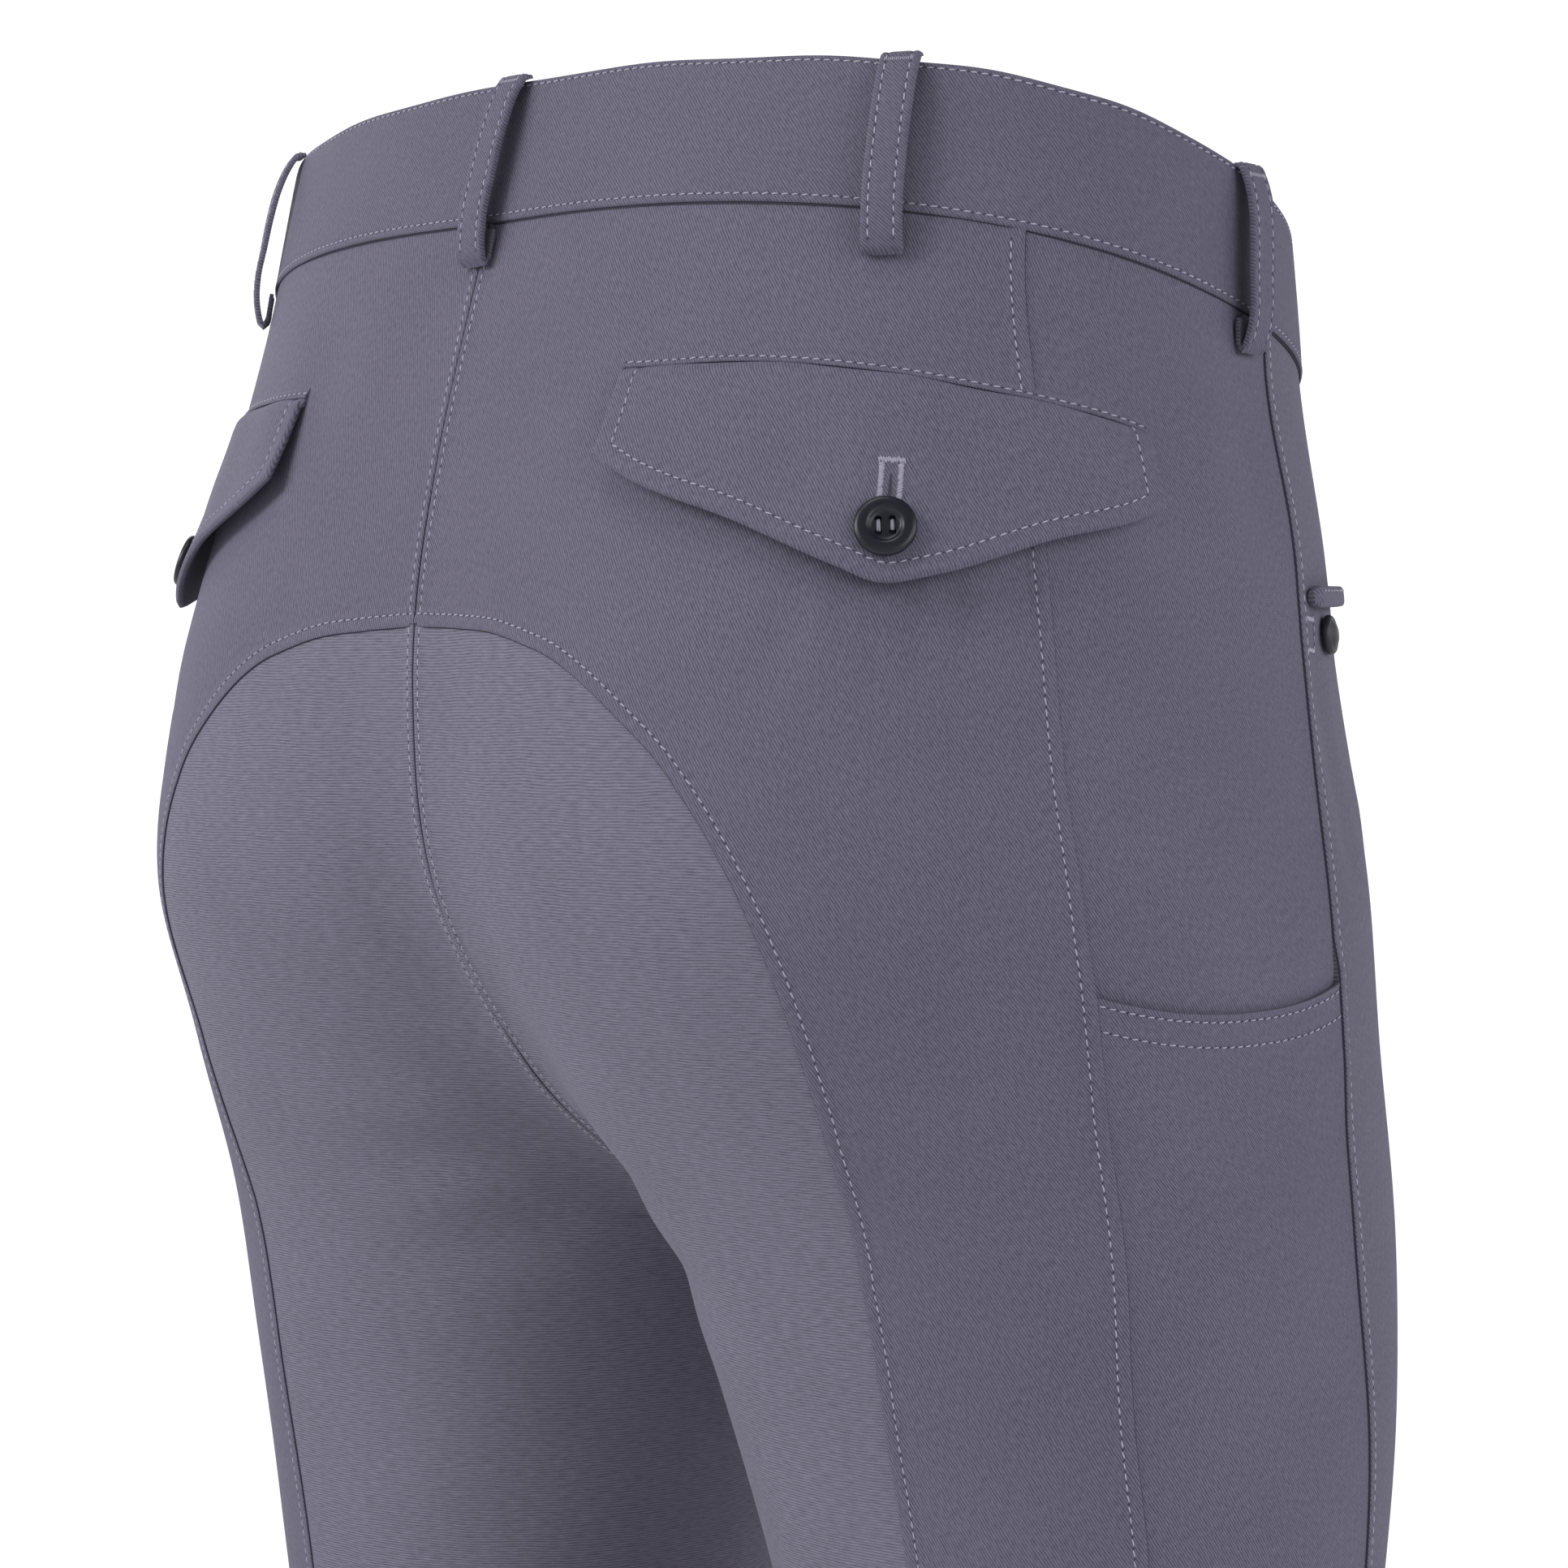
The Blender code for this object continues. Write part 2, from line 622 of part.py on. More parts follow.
def front_girth(x, level):
    """Girth on the front where the skin is x from the middle."""
    lo, hi = -1.0, -0.3
    for _ in range(24):
        mid = (lo + hi) / 2
        if float(section(np.array(mid), np.array(level))[0]) > x:
            hi = mid
        else:
            lo = mid
    return (lo + hi) / 2


def build_fly(coll):
    """Fly overlap: left over right, straight edge at the middle, rounded at its foot."""
    across = (-0.006, 0.0, 0.010, 0.020, FLY_WIDTH - 0.006)
    stops = (0.0, 0.2, 0.4, 0.6, 0.75, 0.87, 0.95, 1.0)
    top = -BAND_HEIGHT - 2 * GAP - 0.0006
    rows = []
    for s in stops:
        level = top + (FLY_BOTTOM - top) * s
        curve = max(0.0, (s - 0.72) / 0.28)
        width = math.sqrt(max(0.0, 1 - curve ** 2)) * 0.82 + 0.18
        row = []
        for x in across:
            xx = -0.006 + (x + 0.006) * width
            side = 1 if xx >= 0 else -1
            girth = front_girth(abs(xx), level)
            row.append(lifted(side, girth, level, GAP + FLY_OUT)[0])
        rows.append(row)
    return sheet("fly", np.array(rows), WALL, "cloth", coll)


def build_cuff(tag, side, coll):
    girth = np.linspace(-1, 1, 25)[:-1]
    outer, inner = [], []
    for level in (HEM - GAP, -0.905, ANKLE):
        outer.append(lifted(side, girth, level, 0.0004)[0])
        inner.append(lifted(side, girth, level, 0.0004 - WALL)[0])
    return shell("cuff_" + tag, np.array(outer), np.array(inner), "seat", coll, ring=True)


def build():
    for obj in list(bpy.data.objects):
        bpy.data.objects.remove(obj, do_unlink=True)
    scene = bpy.context.scene
    coll = bpy.data.collections.new("riding_breeches")
    cutters = bpy.data.collections.new("cutters")
    scene.collection.children.link(coll)
    scene.collection.children.link(cutters)

    build_band(coll)
    build_panels(coll)
    for name, side, top, foot in LOOPS:
        build_loop(name, side, top, foot, coll)
    for tag, side in (("l", 1), ("r", -1)):
        build_flap(tag, side, coll)
        build_lip(tag, side, coll)
        build_cuff(tag, side, coll)
        point, n = flap_spot(side, FLAP_BUTTON_AT[0], FLAP_BUTTON_AT[1], GAP + 0.0003)
        button, frame = disc_at("flap_button_" + tag, point, n, BUTTON_DIA, BUTTON_THICK,
                                "button", coll, True)
        cut_holes(button, frame, 0.0017, 0.0016, coll, cutters)
        point, n = lifted(side, SNAP_AT[0], SNAP_AT[1], GAP + 0.0004)
        disc_at("hip_snap_" + tag, point, n, SNAP_DIA, SNAP_THICK, "snap", coll, False)
    build_fly(coll)
    off = BAND_OUT + BAND_WALL + GAP * 2 + 0.0006
    point, n = lifted(-1, -1.0 + 0.25 / 0.060 * BAND_LAP * 0.5, -BAND_HEIGHT / 2, off)
    button, frame = disc_at("waist_button", point, n, BUTTON_DIA, BUTTON_THICK, "button",
                            coll, True)
    cut_holes(button, frame, 0.0017, 0.0016, coll, cutters)


build()
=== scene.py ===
"""Full-seat riding breeches: the surface that is looked at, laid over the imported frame.

Metres, +Z up, front faces -Y, wearer's right is -X, origin at the middle of the waist.
A place on the garment is (girth, level), as in the CAD: girth 0 is the outer side, +1
centre back (inner leg below the fork), -1 centre front.  The left half is worked out once
and turned over for the right.  Every cloth piece is a thin closed shell between the same
seams as its solid; lapped edges, folds and stitches are added on top of that skin.
"""
import math
from functools import partial

import bmesh
import bpy
import numpy as np
from mathutils import Matrix, Vector


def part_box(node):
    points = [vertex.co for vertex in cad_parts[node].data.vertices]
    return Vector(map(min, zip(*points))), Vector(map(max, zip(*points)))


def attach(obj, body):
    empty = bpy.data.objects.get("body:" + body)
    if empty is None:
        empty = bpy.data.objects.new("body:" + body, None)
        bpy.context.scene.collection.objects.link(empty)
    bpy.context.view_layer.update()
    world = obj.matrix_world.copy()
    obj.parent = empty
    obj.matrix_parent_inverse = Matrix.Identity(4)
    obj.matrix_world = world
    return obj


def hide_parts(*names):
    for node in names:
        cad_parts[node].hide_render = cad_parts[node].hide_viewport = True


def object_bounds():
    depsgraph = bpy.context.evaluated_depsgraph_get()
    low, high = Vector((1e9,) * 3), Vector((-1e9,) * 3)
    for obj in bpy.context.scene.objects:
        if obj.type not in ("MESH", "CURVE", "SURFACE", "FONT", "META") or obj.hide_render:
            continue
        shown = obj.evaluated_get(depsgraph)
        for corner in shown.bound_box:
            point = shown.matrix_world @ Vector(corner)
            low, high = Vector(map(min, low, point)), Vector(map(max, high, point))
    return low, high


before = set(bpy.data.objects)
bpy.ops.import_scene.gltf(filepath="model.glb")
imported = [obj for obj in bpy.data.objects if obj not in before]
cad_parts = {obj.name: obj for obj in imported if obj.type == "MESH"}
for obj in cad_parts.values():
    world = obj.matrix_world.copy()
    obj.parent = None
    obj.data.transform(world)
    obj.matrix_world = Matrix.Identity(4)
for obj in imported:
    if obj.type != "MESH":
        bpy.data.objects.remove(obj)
CAD_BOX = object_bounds()

# ---- driving sizes ----
GAP = 0.0003             # clear width of every seam
BAND_HEIGHT = 0.035      # waistband
BAND_OUT = 0.0009        # waistband stands this far over the panels
BAND_WALL = 0.0026
BAND_LAP = 0.030         # left end lapped over the right at centre front
LOOP_WIDTH = 0.0105
LOOP_WALL = 0.0016
LOOP_STAND = 0.0044      # clear gap behind a belt loop
LOOP_DROP = 0.0100       # loop end below the waist seam
FLAP_LIFT = 0.0042       # lower edge of a flap stands off the seat
LIP_HEIGHT = 0.0060
LIP_THICK = 0.0034
FLY_WIDTH = 0.034
FLY_BOTTOM = -0.190
FLY_OUT = 0.0014
LIP_BASE = GAP + 0.0003   # back of the pocket lip and of the snap cap
HEM = -0.872             # panels end, cuffs start
ANKLE = -0.950
MOUTH_UNDER = 0.020      # side panel runs on behind the thigh pocket
TAIL_INSET = 0.010
TILT = 0.31              # waist rises to the back by this slope
TILT_FADE = 0.160        # and is level by this depth
ROUND = 2.2              # oval exponent of every section

# level, centre, half width, mid y, front depth, back depth, back bridge, front bridge
FORM = (
    (0.000, 0.017, 0.152, 0.008, 0.108, 0.081, 0.001, 0.001),
    (-0.045, 0.029, 0.138, 0.008, 0.118, 0.096, 0.004, 0.010),
    (-0.090, 0.040, 0.135, 0.005, 0.111, 0.113, 0.013, 0.035),
    (-0.140, 0.058, 0.121, 0.005, 0.111, 0.127, 0.022, 0.070),
    (-0.190, 0.071, 0.116, 0.005, 0.112, 0.126, 0.026, 0.075),
    (-0.235, 0.082, 0.106, 0.001, 0.108, 0.111, 0.029, 0.055),
    (-0.280, 0.098, 0.093, -0.002, 0.101, 0.092, 0.026, 0.028),
    (-0.330, 0.106, 0.083, -0.009, 0.092, 0.087, 0.016, 0.016),
    (-0.390, 0.113, 0.074, -0.009, 0.079, 0.075, 0.007, 0.007),
    (-0.470, 0.110, 0.065, -0.009, 0.071, 0.068, 0.002, 0.002),
    (-0.560, 0.107, 0.059, -0.006, 0.062, 0.060, 0.001, 0.001),
    (-0.660, 0.104, 0.056, 0.004, 0.052, 0.063, 0.001, 0.001),
    (-0.760, 0.101, 0.049, 0.008, 0.044, 0.055, 0.001, 0.001),
    (-0.860, 0.098, 0.038, 0.006, 0.038, 0.042, 0.001, 0.001),
    (-0.950, 0.096, 0.034, 0.002, 0.040, 0.038, 0.001, 0.001),
)
# level, angle from the outer side that a girth of 1 would turn through
TURN = (
    (0.000, 1.66),
    (-0.035, 1.73),
    (-0.070, 1.79),
    (-0.100, 1.85),
    (-0.130, 1.95),
    (-0.160, 2.04),
    (-0.190, 2.12),
    (-0.220, 2.22),
    (-0.250, 2.36),
    (-0.280, 2.54),
    (-0.320, 2.80),
    (-0.380, 3.02),
    (-0.450, math.pi),
    (-0.950, math.pi),
)
# level, girth of the side-back seam, girth of the front-side seam
SIDE_SEAMS = (
    (-0.035, 0.277, -0.150),
    (-0.070, 0.258, -0.132),
    (-0.105, 0.240, -0.134),
    (-0.130, 0.216, -0.134),
    (-0.160, 0.203, -0.126),
    (-0.200, 0.195, -0.118),
    (-0.250, 0.200, -0.112),
    (-0.300, 0.204, -0.107),
    (-0.350, 0.188, -0.116),
    (-0.450, 0.184, -0.125),
    (-0.950, 0.180, -0.125),
)
# seat seam from centre back round and down: girth, level
SEAT_ARC = (
    (1.000, -0.1265),
    (0.925, -0.1273),
    (0.850, -0.1290),
    (0.772, -0.1345),
    (0.688, -0.1455),
    (0.612, -0.1590),
    (0.555, -0.1800),
    (0.520, -0.2050),
    (0.503, -0.2370),
)
# level, girth of the seat seam below its arc
SEAT_LEG = (
    (-0.2370, 0.503),
    (-0.2600, 0.500),
    (-0.2850, 0.495),
    (-0.3100, 0.477),
    (-0.3350, 0.463),
    (-0.3600, 0.458),
    (-0.5500, 0.450),
    (-0.9500, 0.450),
)
# depth below the fork, girth past the inner leg where the inseam lies
INSEAM = (
    (0.000, 0.000),
    (0.020, 0.050),
    (0.060, 0.140),
    (0.120, 0.215),
    (0.700, 0.250),
)
# flap outline: part of the width, girth, top level, bottom level
FLAP = (
    (0.00, 0.762, -0.0727, -0.0935),
    (0.05, 0.730, -0.0726, -0.0972),
    (0.28, 0.575, -0.0716, -0.1079),
    (0.45, 0.462, -0.0720, -0.1160),
    (0.53, 0.411, -0.0724, -0.1190),
    (0.61, 0.358, -0.0731, -0.1166),
    (0.80, 0.236, -0.0744, -0.1064),
    (0.96, 0.130, -0.0760, -0.0985),
    (1.00, 0.104, -0.0766, -0.0955),
)
SIDES = ((1, "l"), (-1, "r"))
# name, side, girth at the band top, girth at the loop's foot
LOOPS = (("loop_centre_back", 1, 1.000, 1.000),) + tuple(
    ("loop_%s_%s" % (name, tag), side, top, foot) for name, top, foot in (
        ("back", 0.490, 0.458), ("side", -0.088, -0.092), ("front", -0.620, -0.620))
    for side, tag in SIDES)
FLAP_BUTTON_AT = (0.520, 0.760)   # part of the flap's width and height
SNAP_AT = (-0.222, -0.1175)
LIP_FROM = (-0.160, -0.1085)
LIP_TO = (-0.470, -0.1000)
MOUTH_DEPTH = -0.2105     # level of the thigh pocket's mouth at its two seams
MOUTH_SAG = 0.0058        # and how much lower it hangs in the middle


# ---- small tools ----
def ease(s):
    """Smooth step: 0 below s = 0, 1 above s = 1."""
    s = np.clip(s, 0, 1)
    return s * s * (3 - 2 * s)


def bell(x, wide):
    return np.exp(-(x / wide) ** 2)


def unit(v):
    """Vectors brought to length 1."""
    return v / np.linalg.norm(v, axis=-1)[..., None]


def run_of(pts):
    """Length along a line of points, from 0."""
    return np.concatenate([[0.0], np.cumsum(np.linalg.norm(np.diff(pts, axis=0), axis=-1))])


def places(girth, level):
    return np.stack(np.broadcast_arrays(girth, level), -1)


def circle(count):
    """Angles of this many even places round a circle."""
    return np.arange(count) / count * 2 * math.pi


def halve(past, lo, hi, times):
    """Both sides of the value between lo and hi where a test turns true."""
    for _ in range(times):
        mid = (lo + hi) / 2
        out = past(mid)
        lo, hi = np.where(out, lo, mid), np.where(out, mid, hi)
    return lo, hi


def near_line(points, line):
    """Distance of points to a line, and how far along it, 0 to 1, they lie."""
    best = np.full(len(points), 1e9)
    at = np.zeros(len(points))
    for k, run in enumerate(np.diff(line, axis=0)):
        size = run @ run
        if size < 1e-18:
            continue
        t = np.clip((points - line[k]) @ run / size, 0, 1)
        d = np.linalg.norm(points - line[k] - t[:, None] * run, axis=1)
        closer = d < best
        best = np.where(closer, d, best)
        at = np.where(closer, (k + t) / (len(line) - 1), at)
    return best, at


def table_read(table, at):
    """Smooth value of every other column of a table at values of its first column."""
    rows = np.array(sorted(tuple(row) for row in table), dtype=float)
    key, val = rows[:, 0], rows[:, 1:]
    step = np.diff(key)[:, None]
    rise = np.diff(val, axis=0) / step
    slope = np.empty_like(val)
    slope[0], slope[-1] = rise[0], rise[-1]
    slope[1:-1] = (step[1:] * rise[:-1] + step[:-1] * rise[1:]) / (step[1:] + step[:-1])
    x = np.clip(np.asarray(at, dtype=float), key[0], key[-1])
    i = np.clip(np.searchsorted(key, x) - 1, 0, len(key) - 2)
    h = (key[i + 1] - key[i])[..., None]
    s = (x[..., None] - key[i][..., None]) / h
    low = val[i] * (1 + 2 * s) * (1 - s) ** 2 + slope[i] * h * s * (1 - s) ** 2
    high = val[i + 1] * s * s * (3 - 2 * s) - slope[i + 1] * h * s * s * (1 - s)
    return low + high


# ---- the form ----
def oval(x, y, c):
    """Below zero inside the oval round one centre, above zero outside."""
    cx, w, my, fd, bd = c[:5]
    d = np.where(y > my, bd, fd)
    r = (np.abs((x - cx) / w) ** ROUND + np.abs((y - my) / d) ** ROUND) ** (1 / ROUND)
    return (r - 1) * np.minimum(w, d)


def joined(x, y, c):
    """Both ovals joined, the cloth bridging the valley between them."""
    a, b = oval(x, y, c), oval(-x, y, c)
    bridge = np.maximum(c[5] + (c[6] - c[5]) * ease((c[2] - y) / 0.050), 1e-4)
    h = np.clip(1 - np.abs(a - b) / bridge, 0, 1)
    return np.minimum(a, b) - h * h * bridge / 4


def section(girth, level):
    """x and y of the +X half at a girth and level."""
    p = np.where(girth > 1, girth - 2, girth)
    c = np.moveaxis(table_read(FORM, level), -1, 0)
    cx, w, my, fd, bd = c[:5]
    zero = np.zeros_like(cx)
    torso = joined(zero, my, c) < 0
    sign = np.where(p > 0, 1.0, -1.0)
    reach = halve(lambda r: joined(zero, my + sign * r, c) > 0, zero, zero + 0.25, 26)[0]
    depth = np.where(p > 0, bd, fd)
    half = ROUND / 2
    end = np.where(torso, np.arctan2((reach / depth) ** half, -((cx / w) ** half)), math.pi)
    even = table_read(TURN, level)[..., 0]
    turn = p * even + (end - even) * p * np.abs(p) ** 4
    dx = w * np.sign(np.cos(turn)) * np.abs(np.cos(turn)) ** (1 / half)
    dy = depth * np.sign(np.sin(turn)) * np.abs(np.sin(turn)) ** (1 / half)
    most = np.minimum(np.where(dx < -1e-6, cx / np.maximum(-dx, 1e-6), 1.5), 1.5)
    far = halve(lambda r: joined(cx + r * dx, my + r * dy, c) > 0,
                np.minimum(zero + 0.9, most), most, 30)[0]
    return np.maximum(cx + far * dx, 0), my + far * dy


def skin(side, girth, level):
    """Point on the skin: side is +1 for the wearer's left, -1 for the right."""
    girth, level = np.broadcast_arrays(np.asarray(girth, float), np.asarray(level, float))
    x, y = section(girth, level)
    z = level + TILT * y * np.clip(1 + level / TILT_FADE, 0, 1)
    return np.stack([side * x, y, z], -1)


def is_torso(level):
    """Whether the two halves are still one at a level."""
    c = np.moveaxis(table_read(FORM, level), -1, 0)
    return joined(0.0, c[2], c) < 0


FORK = float(sum(halve(is_torso, -0.34, -0.20, 40)) / 2)   # where the two halves part


def lifted(side, girth, level, out=0.0):
    """Point moved off the skin along its outward normal, and that normal."""
    girth, level = np.broadcast_arrays(np.asarray(girth, float), np.asarray(level, float))
    torso = level > FORK
    dp, dz = 2e-3, 2e-4
    p_hi = np.where(torso, np.minimum(girth + dp, 1.0), girth + dp)
    p_lo = np.where(torso, np.maximum(girth - dp, -1.0), girth - dp)
    z_hi = np.where(torso, level + dz, np.minimum(level + dz, FORK - 1e-6))
    z_lo = np.where(torso, np.maximum(level - dz, FORK + 1e-6), level - dz)
    along = skin(side, p_hi, level) - skin(side, p_lo, level)
    up = skin(side, girth, z_hi) - skin(side, girth, z_lo)
    n = np.cross(up, along) * -side
    middle = torso & (np.abs(np.abs(girth) - 1) < 1e-6)
    n[..., 0] = np.where(middle, 0.0, n[..., 0])
    n = unit(n)
    return skin(side, girth, level) + n * np.asarray(out)[..., None], n


# ---- seams as points ----
def levels():
    """Levels of the panel rows, close together round the fork."""
    upper = [-BAND_HEIGHT - 2 * GAP, -0.054, -0.0725, -0.090, -0.108, SEAT_ARC[0][1]]
    mid = [-0.142, -0.158, -0.176, -0.196, -0.2165, -0.236, -0.253]
    above = [FORK + d for d in (0.016, 0.0085, 0.0038, 0.001)]
    below = [FORK - d for d in (0.001, 0.0040, 0.010, 0.020, 0.036, 0.058, 0.088)]
    leg = [-0.420, -0.475, -0.535, -0.600, -0.665, -0.730, -0.800, HEM]
    return upper + mid + above + [FORK] + below + leg


LEVELS = levels()
CORNER = 5                # row where the seat seam meets the centre back
FORK_ROW = LEVELS.index(FORK)


def seam(column, level):
    return table_read(SIDE_SEAMS, np.array(level))[..., column]


def seat_point(i):
    """Girth and level of the seat seam on row i."""
    k = i - CORNER
    if k < len(SEAT_ARC):
        return SEAT_ARC[k]
    start = CORNER + len(SEAT_ARC) - 1
    stop = FORK_ROW + 7
    part = min((i - start) / (stop - start), 1.0)
    level = LEVELS[i] + (SEAT_ARC[-1][1] - LEVELS[start]) * (1 - part)
    return float(table_read(SEAT_LEG, np.array(level))[0]), level


def mouth(girth):
    """Level of the thigh pocket mouth across the side panel."""
    a, b = seam(1, MOUTH_DEPTH), seam(0, MOUTH_DEPTH)
    u = (girth - a) / (b - a)
    return MOUTH_DEPTH - MOUTH_SAG * 4 * u * (1 - u)


# ---- fine seams: places along each seam, by row ----
PLY = 0.0010              # visual cloth
CELL = 0.0030             # cloth cells in view
CELL_LOW = 0.0065         # and on the lower legs
LOW = -0.42
COLUMNS = 56
LAST = len(LEVELS) - 1
UNDER_BAND = -0.0310      # panels run up behind the waistband to here, on row -1


def row_level(t):
    return np.interp(t, np.arange(-1, len(LEVELS)), [UNDER_BAND] + LEVELS)


def fine_rows(start, stop):
    """Row numbers from start to stop with every CAD row and even steps between."""
    out = [float(start)]
    for i in range(int(start), int(stop)):
        tall = row_level(i) - row_level(i + 1)
        step = CELL if row_level(i) > LOW else CELL_LOW
        count = max(1, math.ceil(tall / step))
        out += [i + (k + 1) / count for k in range(count)]
    return np.array(out)


SEAT_KEYS = [(float(i), *seat_point(i)) for i in range(CORNER, len(LEVELS))]


def seat_seam(t):
    return table_read(SEAT_KEYS, t)


def side_seam(column, t):
    z = row_level(t)
    return places(seam(column, z), z)


def centre(girth, t):
    """The middle of the back (girth 1) or of the front (-1), by row."""
    return places(float(girth), row_level(t))


def inner_seam(t):
    """Middle above the fork, inseam below it."""
    z = row_level(t)
    past = table_read(INSEAM, np.clip(FORK - z, 0, 1))[..., 0]
    return places(1.0 + np.where(t > FORK_ROW, past, 0.0), z)


def between(left, right, count=COLUMNS):
    u = np.linspace(0, 1, count + 1)
    return left[:, None, :] + (right - left)[:, None, :] * u[None, :, None]


# ---- flat coordinates for weave and stitches ----
GIRTH_STEP = 0.01         # of the grid that flat coordinates are read from
JUMP = 0.02               # a step round the garment longer than this is no cloth


def flat_table():
    """Arc length round the garment and down it, on a (level, girth) grid."""
    z = np.sort(np.concatenate([np.linspace(0.0, ANKLE, 150), [FORK - 1e-4, FORK + 1e-4]]))[::-1]
    p = np.linspace(-1.0, 1.3, 231)
    pts = skin(1, p[None, :], z[:, None])
    step = np.linalg.norm(np.diff(pts, axis=1), axis=-1)
    for k in (199, 200):      # girth 1, where the torso's skin jumps to the inner leg
        step[:, k] = np.where(step[:, k] > JUMP, 0.002, step[:, k])
    u = np.concatenate([np.zeros((len(z), 1)), np.cumsum(step, axis=1)], axis=1)
    u -= u[:, 125:126]
    return z, u, -run_of(skin(1, 0.45, z))


FLAT_Z, FLAT_U, FLAT_V = flat_table()


def flat(p, z):
    """Flat coordinates in metres of a place on the garment."""
    p, z = np.broadcast_arrays(np.asarray(p, float), np.asarray(z, float))
    zz = np.clip(-z, -FLAT_Z[0], -FLAT_Z[-1] - 1e-9)
    i = np.clip(np.searchsorted(-FLAT_Z, zz, side="right") - 1, 0, len(FLAT_Z) - 2)
    a = (zz + FLAT_Z[i]) / (FLAT_Z[i] - FLAT_Z[i + 1])
    k = np.clip((p + 1.0) / GIRTH_STEP, 0, FLAT_U.shape[1] - 1.001)
    j = k.astype(int)
    b = k - j
    top, low = (FLAT_U[r, j] * (1 - b) + FLAT_U[r, j + 1] * b for r in (i, i + 1))
    v = FLAT_V[i] * (1 - a) + FLAT_V[i + 1] * a
    return np.stack([top * (1 - a) + low * a, v], -1)


def shrink(grid, dist):
    """Draw the left and right edges of a grid of points inward, so seams stay open."""
    for edge, near in ((0, 1), (-1, -2)):
        d = grid[:, near] - grid[:, edge]
        length = np.maximum(np.linalg.norm(d, axis=-1)[..., None], 1e-9)
        grid[:, edge] += d / length * np.minimum(dist, length * 0.4)


# ---- folds ----
# girth and level at both ends, half width, height (below zero a trough)
BOTH_FOLDS = (
    (-0.95, -0.262, -0.42, -0.235, 0.0080, -0.0022),
    (-0.96, -0.285, -0.46, -0.275, 0.0075, -0.0018),
    (-0.93, -0.245, -0.62, -0.185, 0.0090, -0.0014),
    (-0.97, -0.215, -0.80, -0.150, 0.0070, -0.0010),
    (0.97, -0.275, 0.66, -0.300, 0.0090, -0.0012),
    (0.97, -0.262, 0.74, -0.268, 0.0080, -0.0008),
    (0.30, -0.505, 0.92, -0.492, 0.0085, -0.0022),
    (0.36, -0.530, 0.98, -0.538, 0.0090, -0.0026),
    (0.28, -0.562, 0.86, -0.570, 0.0085, -0.0018),
    (-0.70, -0.478, -0.20, -0.462, 0.0110, -0.0012),
    (-0.30, -0.835, 0.62, -0.846, 0.0070, -0.0016),
    (0.10, -0.812, 1.02, -0.806, 0.0075, -0.0014),
    (-0.95, -0.848, -0.36, -0.838, 0.0070, -0.0014),
    (-0.80, -0.800, -0.10, -0.818, 0.0080, -0.0010),
)
FOLDS = {
    -1: (
        (0.452, -0.1150, 0.440, -0.1400, 0.0026, -0.0012),
        (0.425, -0.1150, 0.404, -0.1430, 0.0030, -0.0016),
        (0.392, -0.1150, 0.362, -0.1390, 0.0034, -0.0013),
        (0.350, -0.1120, 0.310, -0.1310, 0.0036, -0.0010),
        (0.500, -0.1180, 0.520, -0.1420, 0.0045, -0.0006),
        (-0.175, -0.118, -0.205, -0.190, 0.0060, -0.0016),
        (-0.245, -0.120, -0.250, -0.178, 0.0065, -0.0012),
        (-0.330, -0.116, -0.300, -0.165, 0.0070, -0.0010),
        (0.085, -0.050, 0.050, -0.128, 0.0110, -0.0012),
        (-0.055, -0.052, -0.060, -0.110, 0.0090, -0.0008),
        (0.300, -0.140, 0.270, -0.235, 0.0140, -0.0008),
        (0.74, -0.050, 0.72, -0.110, 0.0120, -0.0006),
    ),
    1: (
        (0.97, -0.232, 0.72, -0.205, 0.0090, -0.0009),
        (0.96, -0.247, 0.66, -0.232, 0.0085, -0.0010),
        (0.95, -0.262, 0.70, -0.262, 0.0090, -0.0010),
        (0.80, -0.048, 0.79, -0.095, 0.0120, -0.0010),
        (0.52, -0.118, 0.50, -0.145, 0.0050, -0.0008),
        (0.40, -0.116, 0.37, -0.142, 0.0045, -0.0009),
        (-0.180, -0.116, -0.215, -0.185, 0.0065, -0.0014),
        (-0.300, -0.118, -0.270, -0.170, 0.0070, -0.0011),
        (0.065, -0.052, 0.090, -0.120, 0.0110, -0.0010),
    ),
}


def fold_line(p0, z0, p1, z1, wide, high):
    s = np.linspace(0, 1, 11)
    return skin(1, p0 + (p1 - p0) * s, z0 + (z1 - z0) * s), wide, high


FOLD_LINES = {side: [fold_line(*fold) for fold in BOTH_FOLDS + FOLDS[side]] for side in (1, -1)}


def folds(side, pts):
    """Height of the listed folds and a faint unevenness, at points on the left half."""
    off = 0.00022 * np.sin(pts[..., 0] * 61 + 1.3 * side) * np.sin(pts[..., 2] * 43 + 0.7)
    off = off + 0.00016 * np.sin(pts[..., 1] * 83 + pts[..., 2] * 57 + 2.1 * side)
    shape = off.shape
    spots = pts.reshape(-1, 3)
    off = off.reshape(-1)
    for line, wide, high in FOLD_LINES[side]:
        reach = 3.6 * wide        # a fold is gone this far from its line
        inside = np.all((spots > line.min(0) - reach) & (spots < line.max(0) + reach), axis=1)
        if inside.any():
            away, at = near_line(spots[inside], line)
            fade = np.sin(np.pi * np.clip(at, 0.0, 1.0)) ** 0.8
            off[inside] += high * fade * (bell(away, wide) - 0.42 * bell(away - 1.9 * wide, wide))
    return off.reshape(shape)


def turned(side, v):
    return v * np.array((side, 1.0, 1.0))


def cloth(side, p, z, out):
    """Points and normals on one side's cloth, this far out, folds and all."""
    pts, n = lifted(1, p, z)
    off = folds(side, pts) + out
    return turned(side, pts + n * off[..., None]), turned(side, n)


